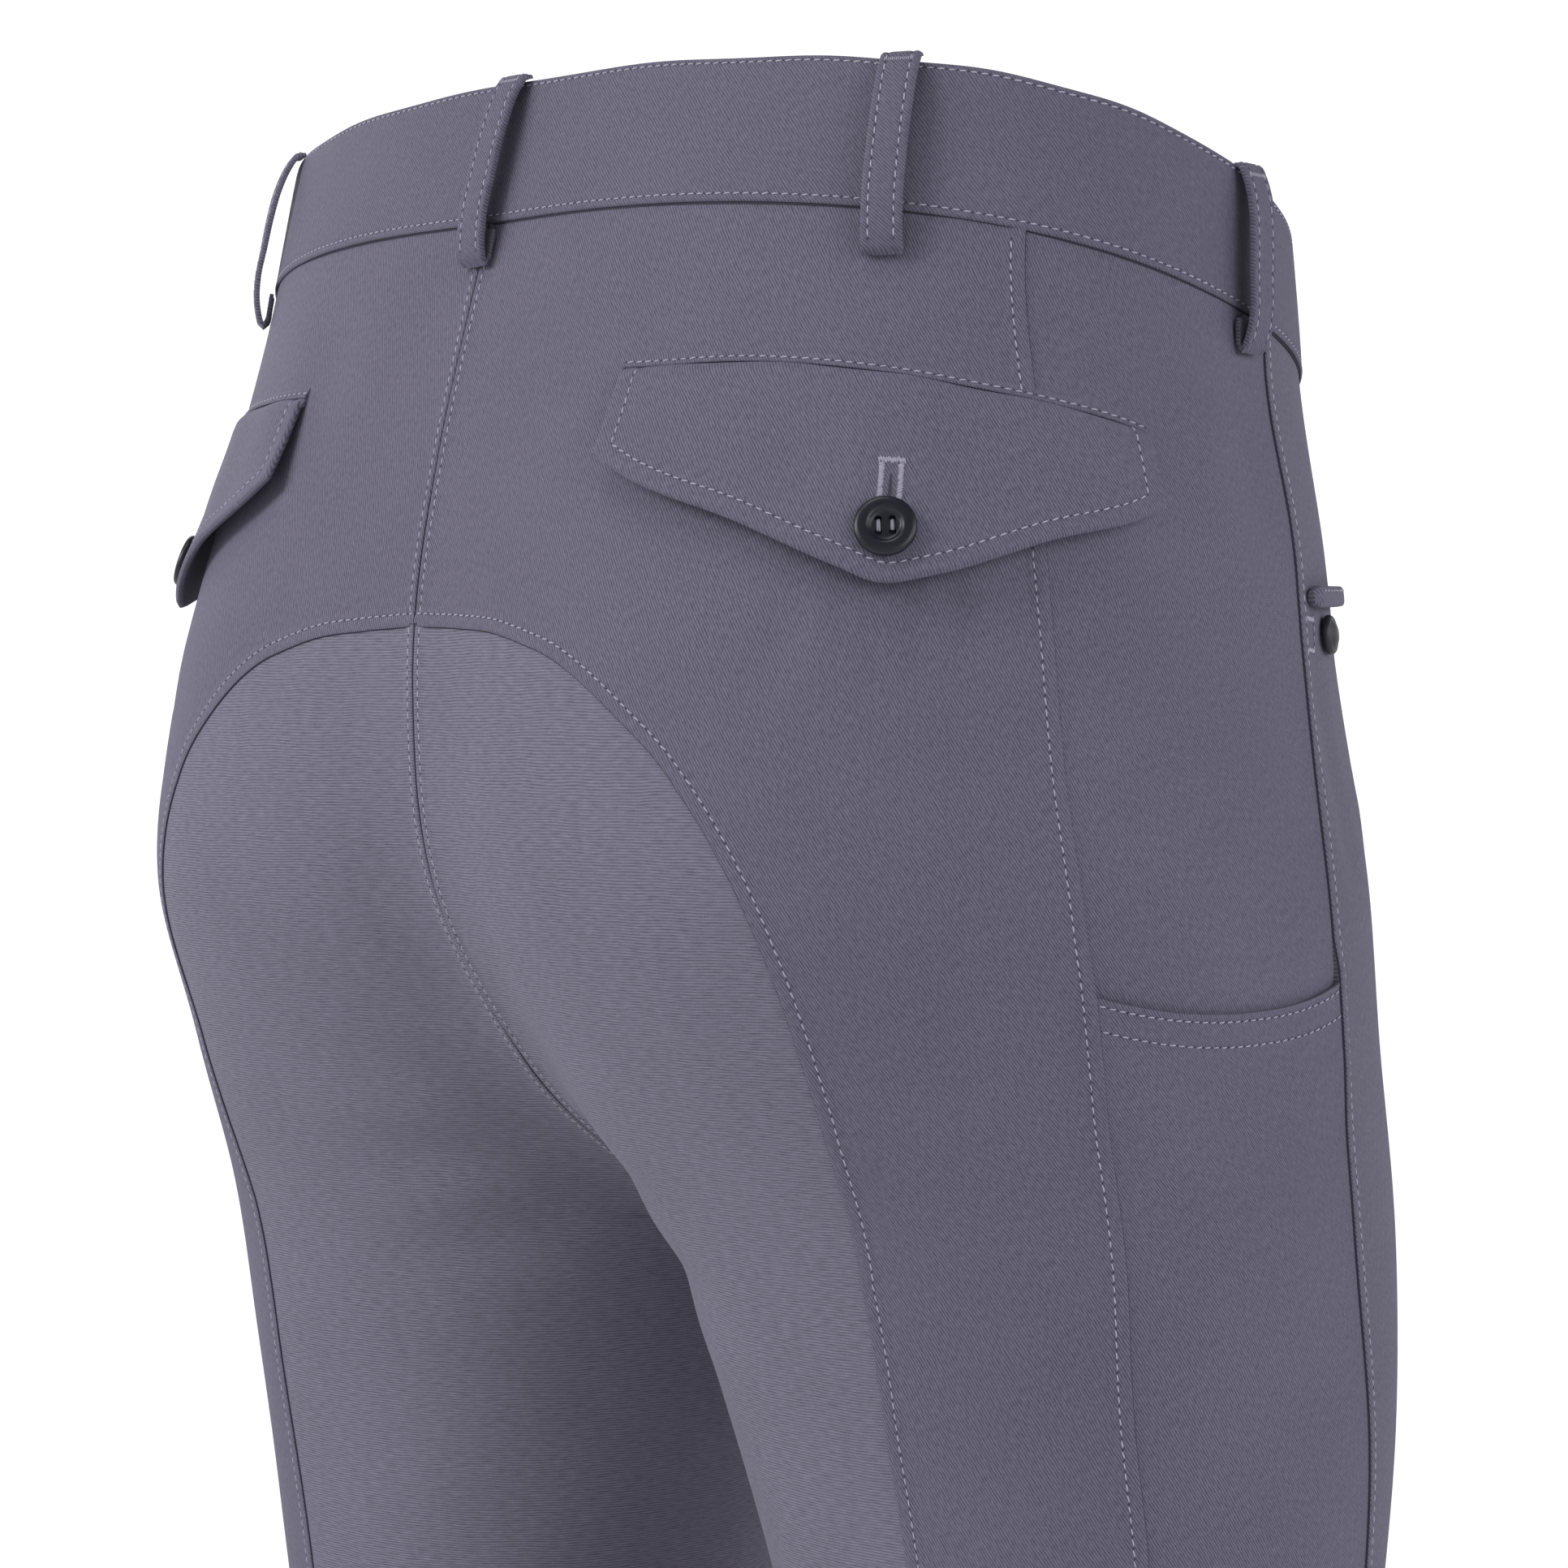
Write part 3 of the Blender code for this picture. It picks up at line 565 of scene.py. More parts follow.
# ---- meshes ----
def grid_faces(rows, cols, wrap_rows=False, wrap_cols=False):
    """Quads of a grid of points."""
    i = np.arange(rows if wrap_rows else rows - 1)
    j = np.arange(cols if wrap_cols else cols - 1)
    i, j = np.meshgrid(i, j, indexing="ij")
    k = (i + 1) % rows
    m = (j + 1) % cols
    quads = np.stack([i * cols + j, i * cols + m, k * cols + m, k * cols + j], -1)
    return quads.reshape(-1, 4)


def new_object(name, data):
    obj = bpy.data.objects.new(name, data)
    bpy.context.scene.collection.objects.link(obj)
    return obj


def two_looks(mesh, mat, second, which):
    """Material slots of a mesh, the faces in which wearing the second."""
    mesh.materials.append(mat)
    mesh.materials.append(second)
    index = np.zeros(len(mesh.polygons), np.int32)
    index[which] = 1
    mesh.polygons.foreach_set("material_index", index)


class Pieces:
    """Vertices, faces and flat coordinates gathered for one object."""

    def __init__(self):
        self.points, self.faces, self.uv, self.count = [], [], [], 0
        self.dark, self.total = [], 0

    def add(self, points, faces, uv=None, dark=()):
        points = np.asarray(points, float).reshape(-1, 3)
        uv = np.zeros((len(points), 2)) if uv is None else np.asarray(uv, float).reshape(-1, 2)
        self.points.append(points)
        self.uv.append(uv)
        self.faces.append(np.asarray(faces) + self.count)
        self.dark += [self.total + k for k in dark]
        self.total += len(faces)
        self.count += len(points)

    def shell(self, outer, inner, uv, n):
        """Closed wall between two grids whose outer side faces along n."""
        rows, cols = outer.shape[:2]
        i, j = rows // 2, cols // 2
        a = outer[i, j] - outer[i, j - 1]
        b = outer[i, j] - outer[i - 1, j]
        base = rows * cols
        top = grid_faces(rows, cols)
        c = np.arange(cols - 1)
        low = base - cols + c
        left = np.arange(rows - 1) * cols
        right = left + cols - 1
        walls = [np.stack([p, q, base + q, base + p], -1) for p, q in (
            (c + 1, c), (low, low + 1), (left, left + cols), (right + cols, right))]
        quads = np.concatenate([top, top[:, ::-1] + base] + walls)
        if np.cross(a, b) @ n[i, j] >= 0:
            quads = quads[:, ::-1]
        pts = np.concatenate([outer.reshape(-1, 3), inner.reshape(-1, 3)])
        self.add(pts, quads, np.concatenate([uv.reshape(-1, 2)] * 2))

    def tube(self, rings, uv, n, dark=()):
        """Closed bar through rings of points (N, M, 3); its first points face along n.

        The faces after the points listed in dark are in the painted shade material."""
        rows, cols = rings.shape[:2]
        quads = grid_faces(rows, cols, wrap_cols=True)
        i = rows // 2
        a = rings[i, 1] - rings[i, 0]
        b = rings[i + 1, 0] - rings[i, 0]
        mid = rings[i].mean(0)
        if np.cross(a, b) @ (rings[i, 0] - mid + n[i] * 1e-9) < 0:
            quads = quads[:, ::-1]
        ends = []
        fan = cols // 2
        for r, turn in ((0, 1), (rows - 1, -1)):
            base = r * cols
            for k in range(1, fan):
                ends.append([base + k - 1, base + k, base + cols - k - 1, base + cols - k][::turn])
        shade = [i * cols + k for i in range(rows - 1) for k in dark]
        self.add(rings, np.concatenate([quads, np.array(ends)]), uv, shade)

    def build(self, name, mat, slot, replaces=(), sharp=50.0):
        mesh = bpy.data.meshes.new(name)
        faces = [face for part in self.faces for face in part.tolist()]
        mesh.from_pydata(np.concatenate(self.points).tolist(), [], faces)
        layer = mesh.uv_layers.new(name="UVMap")
        index = np.empty(len(mesh.loops), int)
        mesh.loops.foreach_get("vertex_index", index)
        uv = np.concatenate(self.uv)[index]
        layer.data.foreach_set("uv", uv.astype(np.float32).ravel())
        if self.dark:
            two_looks(mesh, mat, PAINTED_SHADE_LOOK, self.dark)
        else:
            mesh.materials.append(mat)
        obj = new_object(name, mesh)
        finish_piece(obj, replaces, sharp)
        return obj


def finish_piece(obj, replaces=(), sharp=50.0):
    """Smooth shading, and what the frame has to know of a piece."""
    mesh = obj.data
    mesh.polygons.foreach_set("use_smooth", np.ones(len(mesh.polygons), bool))
    mesh.set_sharp_from_angle(angle=math.radians(sharp))
    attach(obj, "root")
    if replaces:
        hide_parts(*replaces)


# ---- stitches ----
PITCH = 0.0028            # of the stitches
STITCH = 0.00185          # length of one
STITCH_SIDES = 6          # of its section and of a needle hole
THREAD = 0.00017          # radius
HOLE_SIZE = 0.00030       # needle holes, dark discs of painted shade: radius and height over the cloth
HOLE_OUT = 0.00005
UP = np.array((0.0, 0.0, 1.0))
RNG = np.random.default_rng(11)


def stitch_form():
    """One stitch: a fat little bar along x, up z, whose ends dive into the cloth."""
    turn = circle(STITCH_SIDES)
    tips = [(x * STITCH, 0.0, -0.75 * THREAD) for x in (-0.5, 0.5)]
    pts = [(x * STITCH, math.cos(a) * r * THREAD * 1.15, h * THREAD + math.sin(a) * r * THREAD)
           for x, r, h in ((-0.38, 0.8, -0.15), (0.0, 1.0, 0.45), (0.38, 0.8, -0.15)) for a in turn]
    faces = []
    last = len(pts) + 1
    for k in range(STITCH_SIDES):
        m = (k + 1) % STITCH_SIDES
        a, b, c = ((1 + k + i, 1 + m + i) for i in np.arange(3) * STITCH_SIDES)
        faces += [(0, *a[::-1], 0), (*a, *b[::-1]), (*b, *c[::-1]), (*c, last, last)]
    return np.array(tips[:1] + pts + tips[1:]), faces


STITCH_POINTS, STITCH_FACES = stitch_form()


class Sewing:
    """Rows of stitches and their needle holes, dark discs of painted shade, gathered for one object
    each.
    """

    def __init__(self):
        self.at, self.hole = [], []

    def row(self, pts, n, pitch=PITCH, slant=7.0, size=1.0):
        s = run_of(pts)
        count = max(1, int(s[-1] / pitch))

        def read(x, of=pts):
            return np.stack([np.interp(x, s, column) for column in of.T], -1)

        mid = (np.arange(count) + 0.5) * s[-1] / count
        t = read(np.minimum(mid + pitch / 3, s[-1])) - read(np.maximum(mid - pitch / 3, 0))
        self.place(read(mid), t, read(mid, n), slant, size)
        edge = np.arange(count + 1) * s[-1] / count
        self.holes(read(edge), read(edge, n))

    def place(self, c, t, n, slant=0.0, size=1.0, long=1.0):
        """Stitches at c that run along t and stand out along n."""
        n = unit(n)
        t = unit(t - n * (t * n).sum(1)[:, None])
        b = np.cross(n, t)
        a = np.radians(slant + RNG.normal(0, 2.5, len(c)))[:, None]
        t, b = t * np.cos(a) + b * np.sin(a), b * np.cos(a) - t * np.sin(a)
        k = (size * (1 + RNG.normal(0, 0.05, len(c))))[:, None, None]
        x, y, z = (STITCH_POINTS[:, i:i + 1] for i in range(3))
        self.at.append(c[:, None] + (x * t[:, None] * long + y * b[:, None] + z * n[:, None]) * k)

    def holes(self, c, n):
        n = unit(n)
        t = unit(np.cross(n, UP))
        b = np.cross(n, t)
        turn = circle(STITCH_SIDES)
        ring = np.cos(turn)[None, :, None] * t[:, None] + np.sin(turn)[None, :, None] * b[:, None]
        self.hole.append(c[:, None] + ring * HOLE_SIZE + n[:, None] * HOLE_OUT)

    def build(self, name, mat):
        pts = np.concatenate(self.at).reshape(-1, 3)
        holes = np.concatenate(self.hole).reshape(-1, 3) if self.hole else np.zeros((0, 3))
        starts = np.arange(0, len(pts), len(STITCH_POINTS))
        faces = (np.array(STITCH_FACES) + starts[:, None, None]).reshape(-1, 4)
        faces = [tuple(dict.fromkeys(f)) for f in faces.tolist()]
        rims = (np.arange(len(holes)) + len(pts)).reshape(-1, STITCH_SIDES).tolist()
        mesh = bpy.data.meshes.new(name)
        mesh.from_pydata(np.concatenate([pts, holes]).tolist(), [], faces + rims)
        mesh.uv_layers.new(name="UVMap")
        two_looks(mesh, mat, HOLE_SHADE_LOOK, slice(len(faces), None))
        finish_piece(new_object(name, mesh), (), 180.0)


SEW = {1: Sewing(), -1: Sewing()}


# ---- places beside a seam ----
def beside(path, inward):
    """A reader of places this far into the cloth from a seam: d (metres) -> (p, z)."""
    p, z = path[:, 0], path[:, 1]
    pts, n = lifted(1, p, z)
    b = np.cross(n, unit(np.gradient(pts, axis=0))) * inward
    dp = np.where(p + 0.004 > 1.0, -0.004, 0.004)
    dz = np.where(z > FORK, 2e-4, -2e-4)
    jp = (skin(1, p + dp, z) - pts) / dp[:, None]
    jz = (skin(1, p, z + dz) - pts) / dz[:, None]
    jp2, jz2, jpz = (jp * jp).sum(1), (jz * jz).sum(1), (jp * jz).sum(1)
    bp, bz = (b * jp).sum(1), (b * jz).sum(1)
    det = jp2 * jz2 - jpz ** 2
    sp = (bp * jz2 - bz * jpz) / det
    sz = (bz * jp2 - bp * jpz) / det

    return lambda d: (p + sp * d, z + sz * d)


# distance into the cloth and height in millimetres; the first ones are painted dark as the shade in
# the seam
LAP = ((-0.68, -0.50), (-0.66, 0.04), (-0.43, 0.05), (-0.38, 0.46), (-0.12, 0.66), (0.50, 0.72),
       (1.40, 0.70), (2.20, 0.56), (2.75, 0.36), (3.10, 0.28), (3.45, 0.32), (4.20, 0.20),
       (5.20, -0.02), (5.60, -0.20), (3.00, -0.55))
OPEN = ((0.00, -0.60), (0.04, -0.30), (0.20, 0.08), (0.44, 0.34), (0.90, 0.44), (1.40, 0.40),
        (1.80, 0.26), (2.10, 0.16), (2.45, 0.22), (3.20, 0.12), (4.20, -0.03), (4.60, -0.20),
        (2.50, -0.55))
LAP_SHADE = (1, 2)        # faces of the profile painted dark as the seam's shade, by first point
# and those of the open seam's groove, painted dark as its shade
OPEN_SHADE = (0, 1)
SEAM_STEP = 0.0015        # between the places along a seam
TURN_BY = 3               # a profile is read from this point on, so it starts on its outer face


def lap_strip(gather, side, path, inward, profile, tall=1.0, wave=0.0, lift=None,
              shade=LAP_SHADE):
    """Raised edge of a lapped or pressed seam, closed, joined to its panel's mesh; the faces listed
    in shade are painted dark as shade.
    """
    place = beside(path, inward)
    rings, uvs, normals = [], [], None
    run = np.arange(len(path)) * SEAM_STEP
    sway = wave * (np.sin(run * 1450) + 0.6 * np.sin(run * 2320 + 1.0))
    for d, out in profile:
        p, z = place((d * 1e-3) + sway * math.exp(-abs(d) / 0.5))
        if wave:
            p = np.clip(p, -1.0, 1.0)
        high = np.full(len(p), out * 1e-3 * (tall if out > 0.1 else 1.0))
        if lift is not None and out > 0:
            high = high + lift(z) * min(1.0, max(0.0, (4.8 - d) / 3.0))
        pts, n = cloth(side, p, z, high)
        rings.append(pts)
        uvs.append(flat(p, z) * (side, 1))
        if abs(d - 0.50) < 0.2:
            normals = n
    rings, uvs = (np.roll(np.stack(a, 1), -TURN_BY, axis=1) for a in (rings, uvs))
    gather.tube(rings, uvs, normals, [(k - TURN_BY) % len(profile) for k in shade])


def sew_beside(side, path, inward, d, out, lift=None):
    """A row of stitches this far into the cloth from a seam."""
    p, z = beside(path, inward)(d)
    SEW[side].row(*cloth(side, p, z, out if lift is None else out + lift(z) * 0.6))


def sew(side, pts, n, **how):
    """A row of stitches given on the left half."""
    SEW[side].row(turned(side, pts), turned(side, n), **how)


def dense(reader, start, stop):
    """A path of places every step or so along a seam given by row."""
    t = np.linspace(start, stop, 1200)
    s = run_of(skin(1, *reader(t).T))
    return reader(np.interp(np.linspace(0, s[-1], max(8, int(s[-1] / SEAM_STEP))), s, t))


# ---- looks ----
def node(tree, kind, **settings):
    made = tree.nodes.new(kind)
    for key, value in settings.items():
        setattr(made, key, value)
    return made


def math_node(tree, op, *inputs):
    made = node(tree, "ShaderNodeMath", operation=op)
    for socket, value in zip(made.inputs, inputs):
        if isinstance(value, (int, float)):
            socket.default_value = value
        else:
            tree.links.new(value, socket)
    return made.outputs[0]


def noise_node(tree, vector, scale, detail=2.0, rough=0.5):
    made = node(tree, "ShaderNodeTexNoise")
    tree.links.new(vector, made.inputs["Vector"])
    for key, value in (("Scale", scale), ("Detail", detail), ("Roughness", rough)):
        made.inputs[key].default_value = value
    return made.outputs["Fac"]


def plain_material(name, rgb, rough, sheen=0.0, spec=0.5):
    mat = bpy.data.materials.new(name)
    mat.use_nodes = True
    mat.diffuse_color = (*rgb, 1.0)
    bsdf = mat.node_tree.nodes["Principled BSDF"]
    for key, value in (("Base Color", (*rgb, 1.0)), ("Roughness", rough),
                       ("Specular IOR Level", spec), ("Sheen Weight", sheen),
                       ("Sheen Roughness", 0.45), ("Sheen Tint", (0.80, 0.78, 0.92, 1.0))):
        bsdf.inputs[key].default_value = value
    return mat, mat.node_tree, bsdf


def weave_material(name, rgb, lean, pitch, depth=1.0, contrast=1.0, dash=0.0022):
    """Ribbed or twill cloth: lines square to the lean angle, broken into short dashes."""
    mat, tree, bsdf = plain_material(name, rgb, 0.80, sheen=0.06, spec=0.22)
    link = tree.links.new
    add, times = partial(math_node, tree, "ADD"), partial(math_node, tree, "MULTIPLY")
    uv = node(tree, "ShaderNodeUVMap", uv_map="UVMap").outputs[0]

    def ripple(at, *noise):
        """Noise from -0.5 to 0.5."""
        return math_node(tree, "SUBTRACT", noise_node(tree, at, *noise), 0.5)

    part = node(tree, "ShaderNodeSeparateXYZ")
    link(uv, part.inputs[0])
    u, v = part.outputs[0], part.outputs[1]
    ca, sa = math.cos(math.radians(lean)), math.sin(math.radians(lean))
    across = add(times(u, ca / pitch), times(v, sa / pitch))
    along = add(times(u, -sa / dash), times(v, ca / dash))
    phase = add(across, times(noise_node(tree, uv, 60.0, 1.0), 1.6))
    wave = math_node(tree, "SINE", times(phase, 2 * math.pi))
    spot = node(tree, "ShaderNodeCombineXYZ")
    link(across, spot.inputs[0])
    link(along, spot.inputs[1])
    dashes = ripple(spot.outputs[0], 1.15, 1.0)
    lint = ripple(uv, 1500.0, 2.0, 0.7)
    cloud = ripple(uv, 22.0, 3.0, 0.55)
    tone = times(wave, 0.36 * contrast)
    for source, share in ((dashes, 0.90 * contrast), (lint, 0.42), (cloud, 0.20)):
        tone = add(tone, times(source, share))
    ramp = node(tree, "ShaderNodeValToRGB")
    ends = ramp.color_ramp.elements
    ends[0].color = (*[c * 0.54 for c in rgb], 1.0)
    ends[1].color = (*[min(1.0, c * 1.46 + 0.006) for c in rgb], 1.0)
    link(add(tone, 0.5), ramp.inputs[0])
    link(ramp.outputs[0], bsdf.inputs["Base Color"])
    bump = node(tree, "ShaderNodeBump")
    bump.inputs["Strength"].default_value = 0.70
    bump.inputs["Distance"].default_value = 0.00009 * depth
    link(add(times(wave, 0.5), times(dashes, 1.2)), bump.inputs["Height"])
    link(bump.outputs[0], bsdf.inputs["Normal"])
    return mat


TWILL_LEAN = 30.0
CLOTH = weave_material("twill_cloth", (0.103, 0.0965, 0.1385), TWILL_LEAN, 0.00070)
FRONT_CLOTH = weave_material("front_cloth", (0.106, 0.0995, 0.1405), TWILL_LEAN, 0.00070)
SEAT_CLOTH = weave_material("ribbed_cloth", (0.131, 0.1245, 0.1690), 90.0, 0.00074, 0.9, 0.8,
                            0.0045)
BAND_CLOTH = weave_material("band_cloth", (0.099, 0.0930, 0.1335), -48.0, 0.00066, 0.9, 0.9)
THREAD_LOOK = plain_material("thread", (0.37, 0.355, 0.44), 0.60, sheen=0.1, spec=0.3)[0]
BUTTON_THREAD = plain_material("button_thread", (0.22, 0.21, 0.25), 0.55, spec=0.4)[0]
# flat dark colour painted where seam grooves, the band's lower edge and the flap's edges lie in
# shade
PAINTED_SHADE_LOOK = plain_material("painted_shade", (0.046, 0.043, 0.060), 0.9, spec=0.1)[0]
# flat dark colour of painted shade in the needle holes and the buttonhole slit
HOLE_SHADE_LOOK = plain_material("painted_hole_shade", (0.035, 0.032, 0.050), 0.9)[0]
BUTTON_LOOK = plain_material("button_resin", (0.0075, 0.0078, 0.014), 0.36, spec=0.38)[0]
SNAP_LOOK = plain_material("snap_enamel", (0.018, 0.018, 0.026), 0.42, spec=0.4)[0]


# ---- panels ----
def panel_grids():
    """Places of every panel's cloth on the left half."""
    grids = {}
    t = fine_rows(-1, LAST)
    right = np.where((t < CORNER)[:, None], centre(1, t), seat_seam(np.maximum(t, CORNER)))
    grids["back"] = between(side_seam(0, t), right)
    middle = inner_seam(t)
    middle[:, 0] = np.where(t > FORK_ROW, middle[:, 0] - 2.0, -1.0)
    grids["front"] = between(middle, side_seam(1, t))
    t = fine_rows(CORNER, LAST)
    grids["seat"] = between(seat_seam(t), inner_seam(t))
    z = np.linspace(UNDER_BAND, MOUTH_DEPTH - MOUTH_UNDER, 68)
    tuck = TAIL_INSET * np.clip((MOUTH_DEPTH - 0.008 - z) / 0.012, 0, 1)
    grids["side"] = between(places(seam(1, z) + tuck, z), places(seam(0, z) - tuck, z), 28)
    s = np.concatenate([[0.0, 0.012], np.linspace(0.03, 1, 17)])
    z = np.concatenate([MOUTH_DEPTH + (POCKET_FLAT - MOUTH_DEPTH) * s,
                        np.linspace(POCKET_FLAT, LOW, 56)[1:], np.linspace(LOW, HEM, 70)[1:]])
    grid = between(places(seam(1, z), z), places(seam(0, z), z), 30)
    top = mouth(grid[0, :, 0])
    grid[:len(s), :, 1] = top * (1 - s[:, None]) + POCKET_FLAT * s[:, None]
    grids["thigh_pocket"] = grid
    return grids


POCKET_OUT = 0.0010       # the thigh pocket's mouth stands this far over the panels beside it
POCKET_FLAT = -0.253      # and is flush with them from this level down
MOUTH_LEAVE = 0.0009      # the side panel behind the mouth sinks by this
LOOKS = {"back": (CLOTH, "cloth"), "front": (FRONT_CLOTH, "cloth"), "side": (CLOTH, "cloth"),
         "thigh_pocket": (CLOTH, "cloth"), "seat": (SEAT_CLOTH, "seat_cloth")}


def pocket_out(z):
    """How far out the thigh pocket stands: most at its mouth, then running into the leg."""
    return POCKET_OUT * ease((z - POCKET_FLAT) / 0.024)


def mouth_sink(p, z):
    """How far in the side panel goes behind the mouth."""
    return MOUTH_LEAVE * ease((mouth(p) + 0.004 - z) / 0.007)


def strip_lift(z):
    """Extra height of the side seams' laps where they run over the pocket's edges."""
    return pocket_out(z) * ease((MOUTH_DEPTH + 0.012 - z) / 0.010)


def build_panels():
    """Gather every panel on both sides; lapped edges are added before each is built."""
    made = {}
    for name, grid in panel_grids().items():
        p, z = grid[..., 0], grid[..., 1]
        pts, n = lifted(1, p, z)
        uv = flat(p, z)
        for side, tag in SIDES:
            off = folds(side, pts)
            if name == "thigh_pocket":
                rim = np.maximum(0.0, 1 - np.arange(len(z)) / 2.0)[:, None]
                off = off + pocket_out(z) + 0.0003 * rim
            if name == "side":
                off = off - mouth_sink(p, z)
            outer = pts + n * off[..., None]
            inner = outer - n * PLY
            for skin_pts in (outer, inner):
                shrink(skin_pts, GAP / 2)
                skin_pts[..., 0] = np.maximum(skin_pts[..., 0], GAP / 2)
            gather = Pieces()
            gather.shell(turned(side, outer), turned(side, inner), uv * (side, 1), turned(side, n))
            made[name, tag] = gather
    return made


def inward_from(reader, t, want):
    """Which way is into the cloth from a seam: girth rises (1) or falls (-1) that way."""
    path = reader(np.linspace(t, t + 0.5, 9))
    return 1 if (beside(path, 1)(0.003)[0][4] - path[4, 0]) * want > 0 else -1


# reader, a row to try it on, change of girth into the lapped panel
SEAMS = {"seat": (seat_seam, 12.0, -1), "side_back": (partial(side_seam, 0), 8.0, 1),
         "side_front": (partial(side_seam, 1), 8.0, -1), "back": (partial(centre, 1), 2.0, -1),
         "front": (partial(centre, -1), 14.0, 1), "leg": (inner_seam, FORK_ROW + 9.0, -1)}
IN = {name: inward_from(*how) for name, how in SEAMS.items()}
# path: its seam, first and last row
PATHS = {"seat": ("seat", CORNER, LAST), "side_back": ("side_back", -0.5, LAST),
         "side_front": ("side_front", -0.5, LAST), "back_top": ("back", -0.5, CORNER),
         "back_low": ("back", CORNER, FORK_ROW - 0.3), "front": ("front", 1, FORK_ROW - 0.3),
         "leg": ("leg", FORK_ROW + 1.2, LAST)}
# path, panel, profile, height, waviness, lift and shade of each lap
LAPS = (("seat", "back", LAP, 0.85), ("side_back", "back", LAP, 1.0, 0.0, strip_lift),
        ("side_front", "front", LAP, 1.25, 0.0, strip_lift),
        ("back_top", "back", OPEN, 1.0, 0.00005, None, OPEN_SHADE),
        ("back_low", "seat", OPEN, 1.0, 0.00005, None, OPEN_SHADE),
        ("front", "front", OPEN, 0.8, 0.00004, None, OPEN_SHADE), ("leg", "seat", LAP, 0.7))
# path, places left out at its top, distance in, height and lift of each row of stitches
ROWS = (("seat", 0, 0.0031, 0.00030), ("leg", 0, 0.0031, 0.00026),
        ("side_back", 3, 0.0031, 0.00034, strip_lift),
        ("side_front", 3, 0.0031, 0.00040, strip_lift),
        ("back_top", 3, 0.0021, 0.00020), ("back_low", 0, 0.0021, 0.00020))


def seam_work(made):
    """Lapped edges and topstitching along every seam of the two halves."""
    paths = {name: dense(SEAMS[seam_name][0], first, last)
             for name, (seam_name, first, last) in PATHS.items()}
    for side, tag in SIDES:
        for name, panel, *how in LAPS:
            lap_strip(made[panel, tag], side, paths[name], IN[PATHS[name][0]], *how)
        for name, skip, *how in ROWS:
            sew_beside(side, paths[name][skip:], IN[PATHS[name][0]], *how)
        p = np.linspace(seam(1, MOUTH_DEPTH) + 0.002, seam(0, MOUTH_DEPTH) - 0.002, 80)
        for drop in (0.0019, 0.0082):
            z = mouth(p) - drop
            SEW[side].row(*cloth(side, p, z, pocket_out(z) + 0.00012))


# ---- waistband ----
BAND_FORM = (  # level and distance out in millimetres, down the outside and up the inside
    (0.00, -0.10), (0.05, 0.45), (-0.35, 0.85), (-0.80, 0.98), (-1.30, 0.84), (-1.75, 0.96),
    (-2.60, 1.04), (-6.0, 1.05), (-11.0, 1.00), (-17.0, 0.96), (-23.0, 0.98), (-28.0, 1.00),
    (-32.2, 1.00), (-33.0, 0.92), (-33.45, 0.76), (-33.9, 0.96), (-34.4, 1.08), (-34.9, 0.98),
    (-35.25, 0.60), (-35.36, 0.10), (-35.68, 0.05), (-35.6, -0.55), (-34.6, -1.45), (-28.0, -1.65),
    (-17.0, -1.65), (-6.0, -1.65), (-0.6, -1.50), (-0.05, -0.90))

BAND_SHADE = (18, 19, 20)  # faces of that profile painted dark as the shade under the band's lower edge


BAND_FIRST = 8             # the band's mesh starts at this point of the profile


LAP_GIRTH = 0.25 / 0.060 * BAND_LAP   # how wide the band's lap is in girth


def band_stops():
    """Side, girth and lap of every station round the band, right centre front first."""
    g = np.linspace(-1.0, 1.0, 181)
    side = np.repeat([-1.0, 1.0, -1.0], [181, 180, 14])
    girth = np.concatenate([g, g[::-1][1:], -1.0 + LAP_GIRTH * np.linspace(0, 1, 15)[1:]])
    lap = np.where(side > 0, ease((-0.70 - girth) / 0.30), 0.0)
    lap[361:] = 1.0
    return side, girth, lap


BAND_SIDE, BAND_GIRTH, BAND_LAPPED = band_stops()


def band_places(level, out):
    """Points and normals all round the band at one level and distance out."""
    pts, n = lifted(1, BAND_GIRTH, level)
    k = np.arange(len(BAND_GIRTH))
    soft = (np.sin(k * 0.137 + 0.4) + 0.7 * np.sin(k * 0.221 + 2.0)) * math.sin(
        math.pi * min(1.0, -level / BAND_HEIGHT))
    off = out + BAND_LAPPED * (BAND_WALL + GAP + 0.0003) + 0.00028 * soft
    pts = pts + n * off[:, None]
    if level > -0.004:
        pts[:, 2] += 0.00022 * np.sin(k * 0.31 + 1.0) + 0.0002 * np.sin(k * 0.113)
    flip = np.ones((len(k), 3))
    flip[:, 0] = BAND_SIDE
    return pts * flip, n * flip


def build_band():
    gather = Pieces()
    rings = []
    for level, out in BAND_FORM:
        pts, n = band_places(level * 1e-3, out * 1e-3)
        rings.append(pts)
    run = run_of(rings[BAND_FIRST])
    uvs = [places(run, level * 1e-3) for level, _ in BAND_FORM]
    rings, uvs = (np.roll(np.stack(a, 1), -BAND_FIRST, axis=1) for a in (rings, uvs))
    gather.tube(rings, uvs, n, [k - BAND_FIRST for k in BAND_SHADE])
    obj = gather.build("waistband_cloth", BAND_CLOTH, "band_cloth", ("waistband",))
    for level, out in ((-0.0013, 0.00090), (-0.03345, 0.00084)):
        SEW[1].row(*band_places(level, out))


# ---- belt loops ----
def curve_through(knots, count):
    """Smooth curve through rows of numbers, evenly read."""
    knots = np.array(knots, float)
    key = run_of(knots)
    return table_read(np.column_stack([key, knots]), np.linspace(0, key[-1], count))


LOOP_SEWN = slice(4, 74)  # rows of a loop that its two lines of stitches run along
TACK_ROW = 6              # and the row of the bar tack across its top


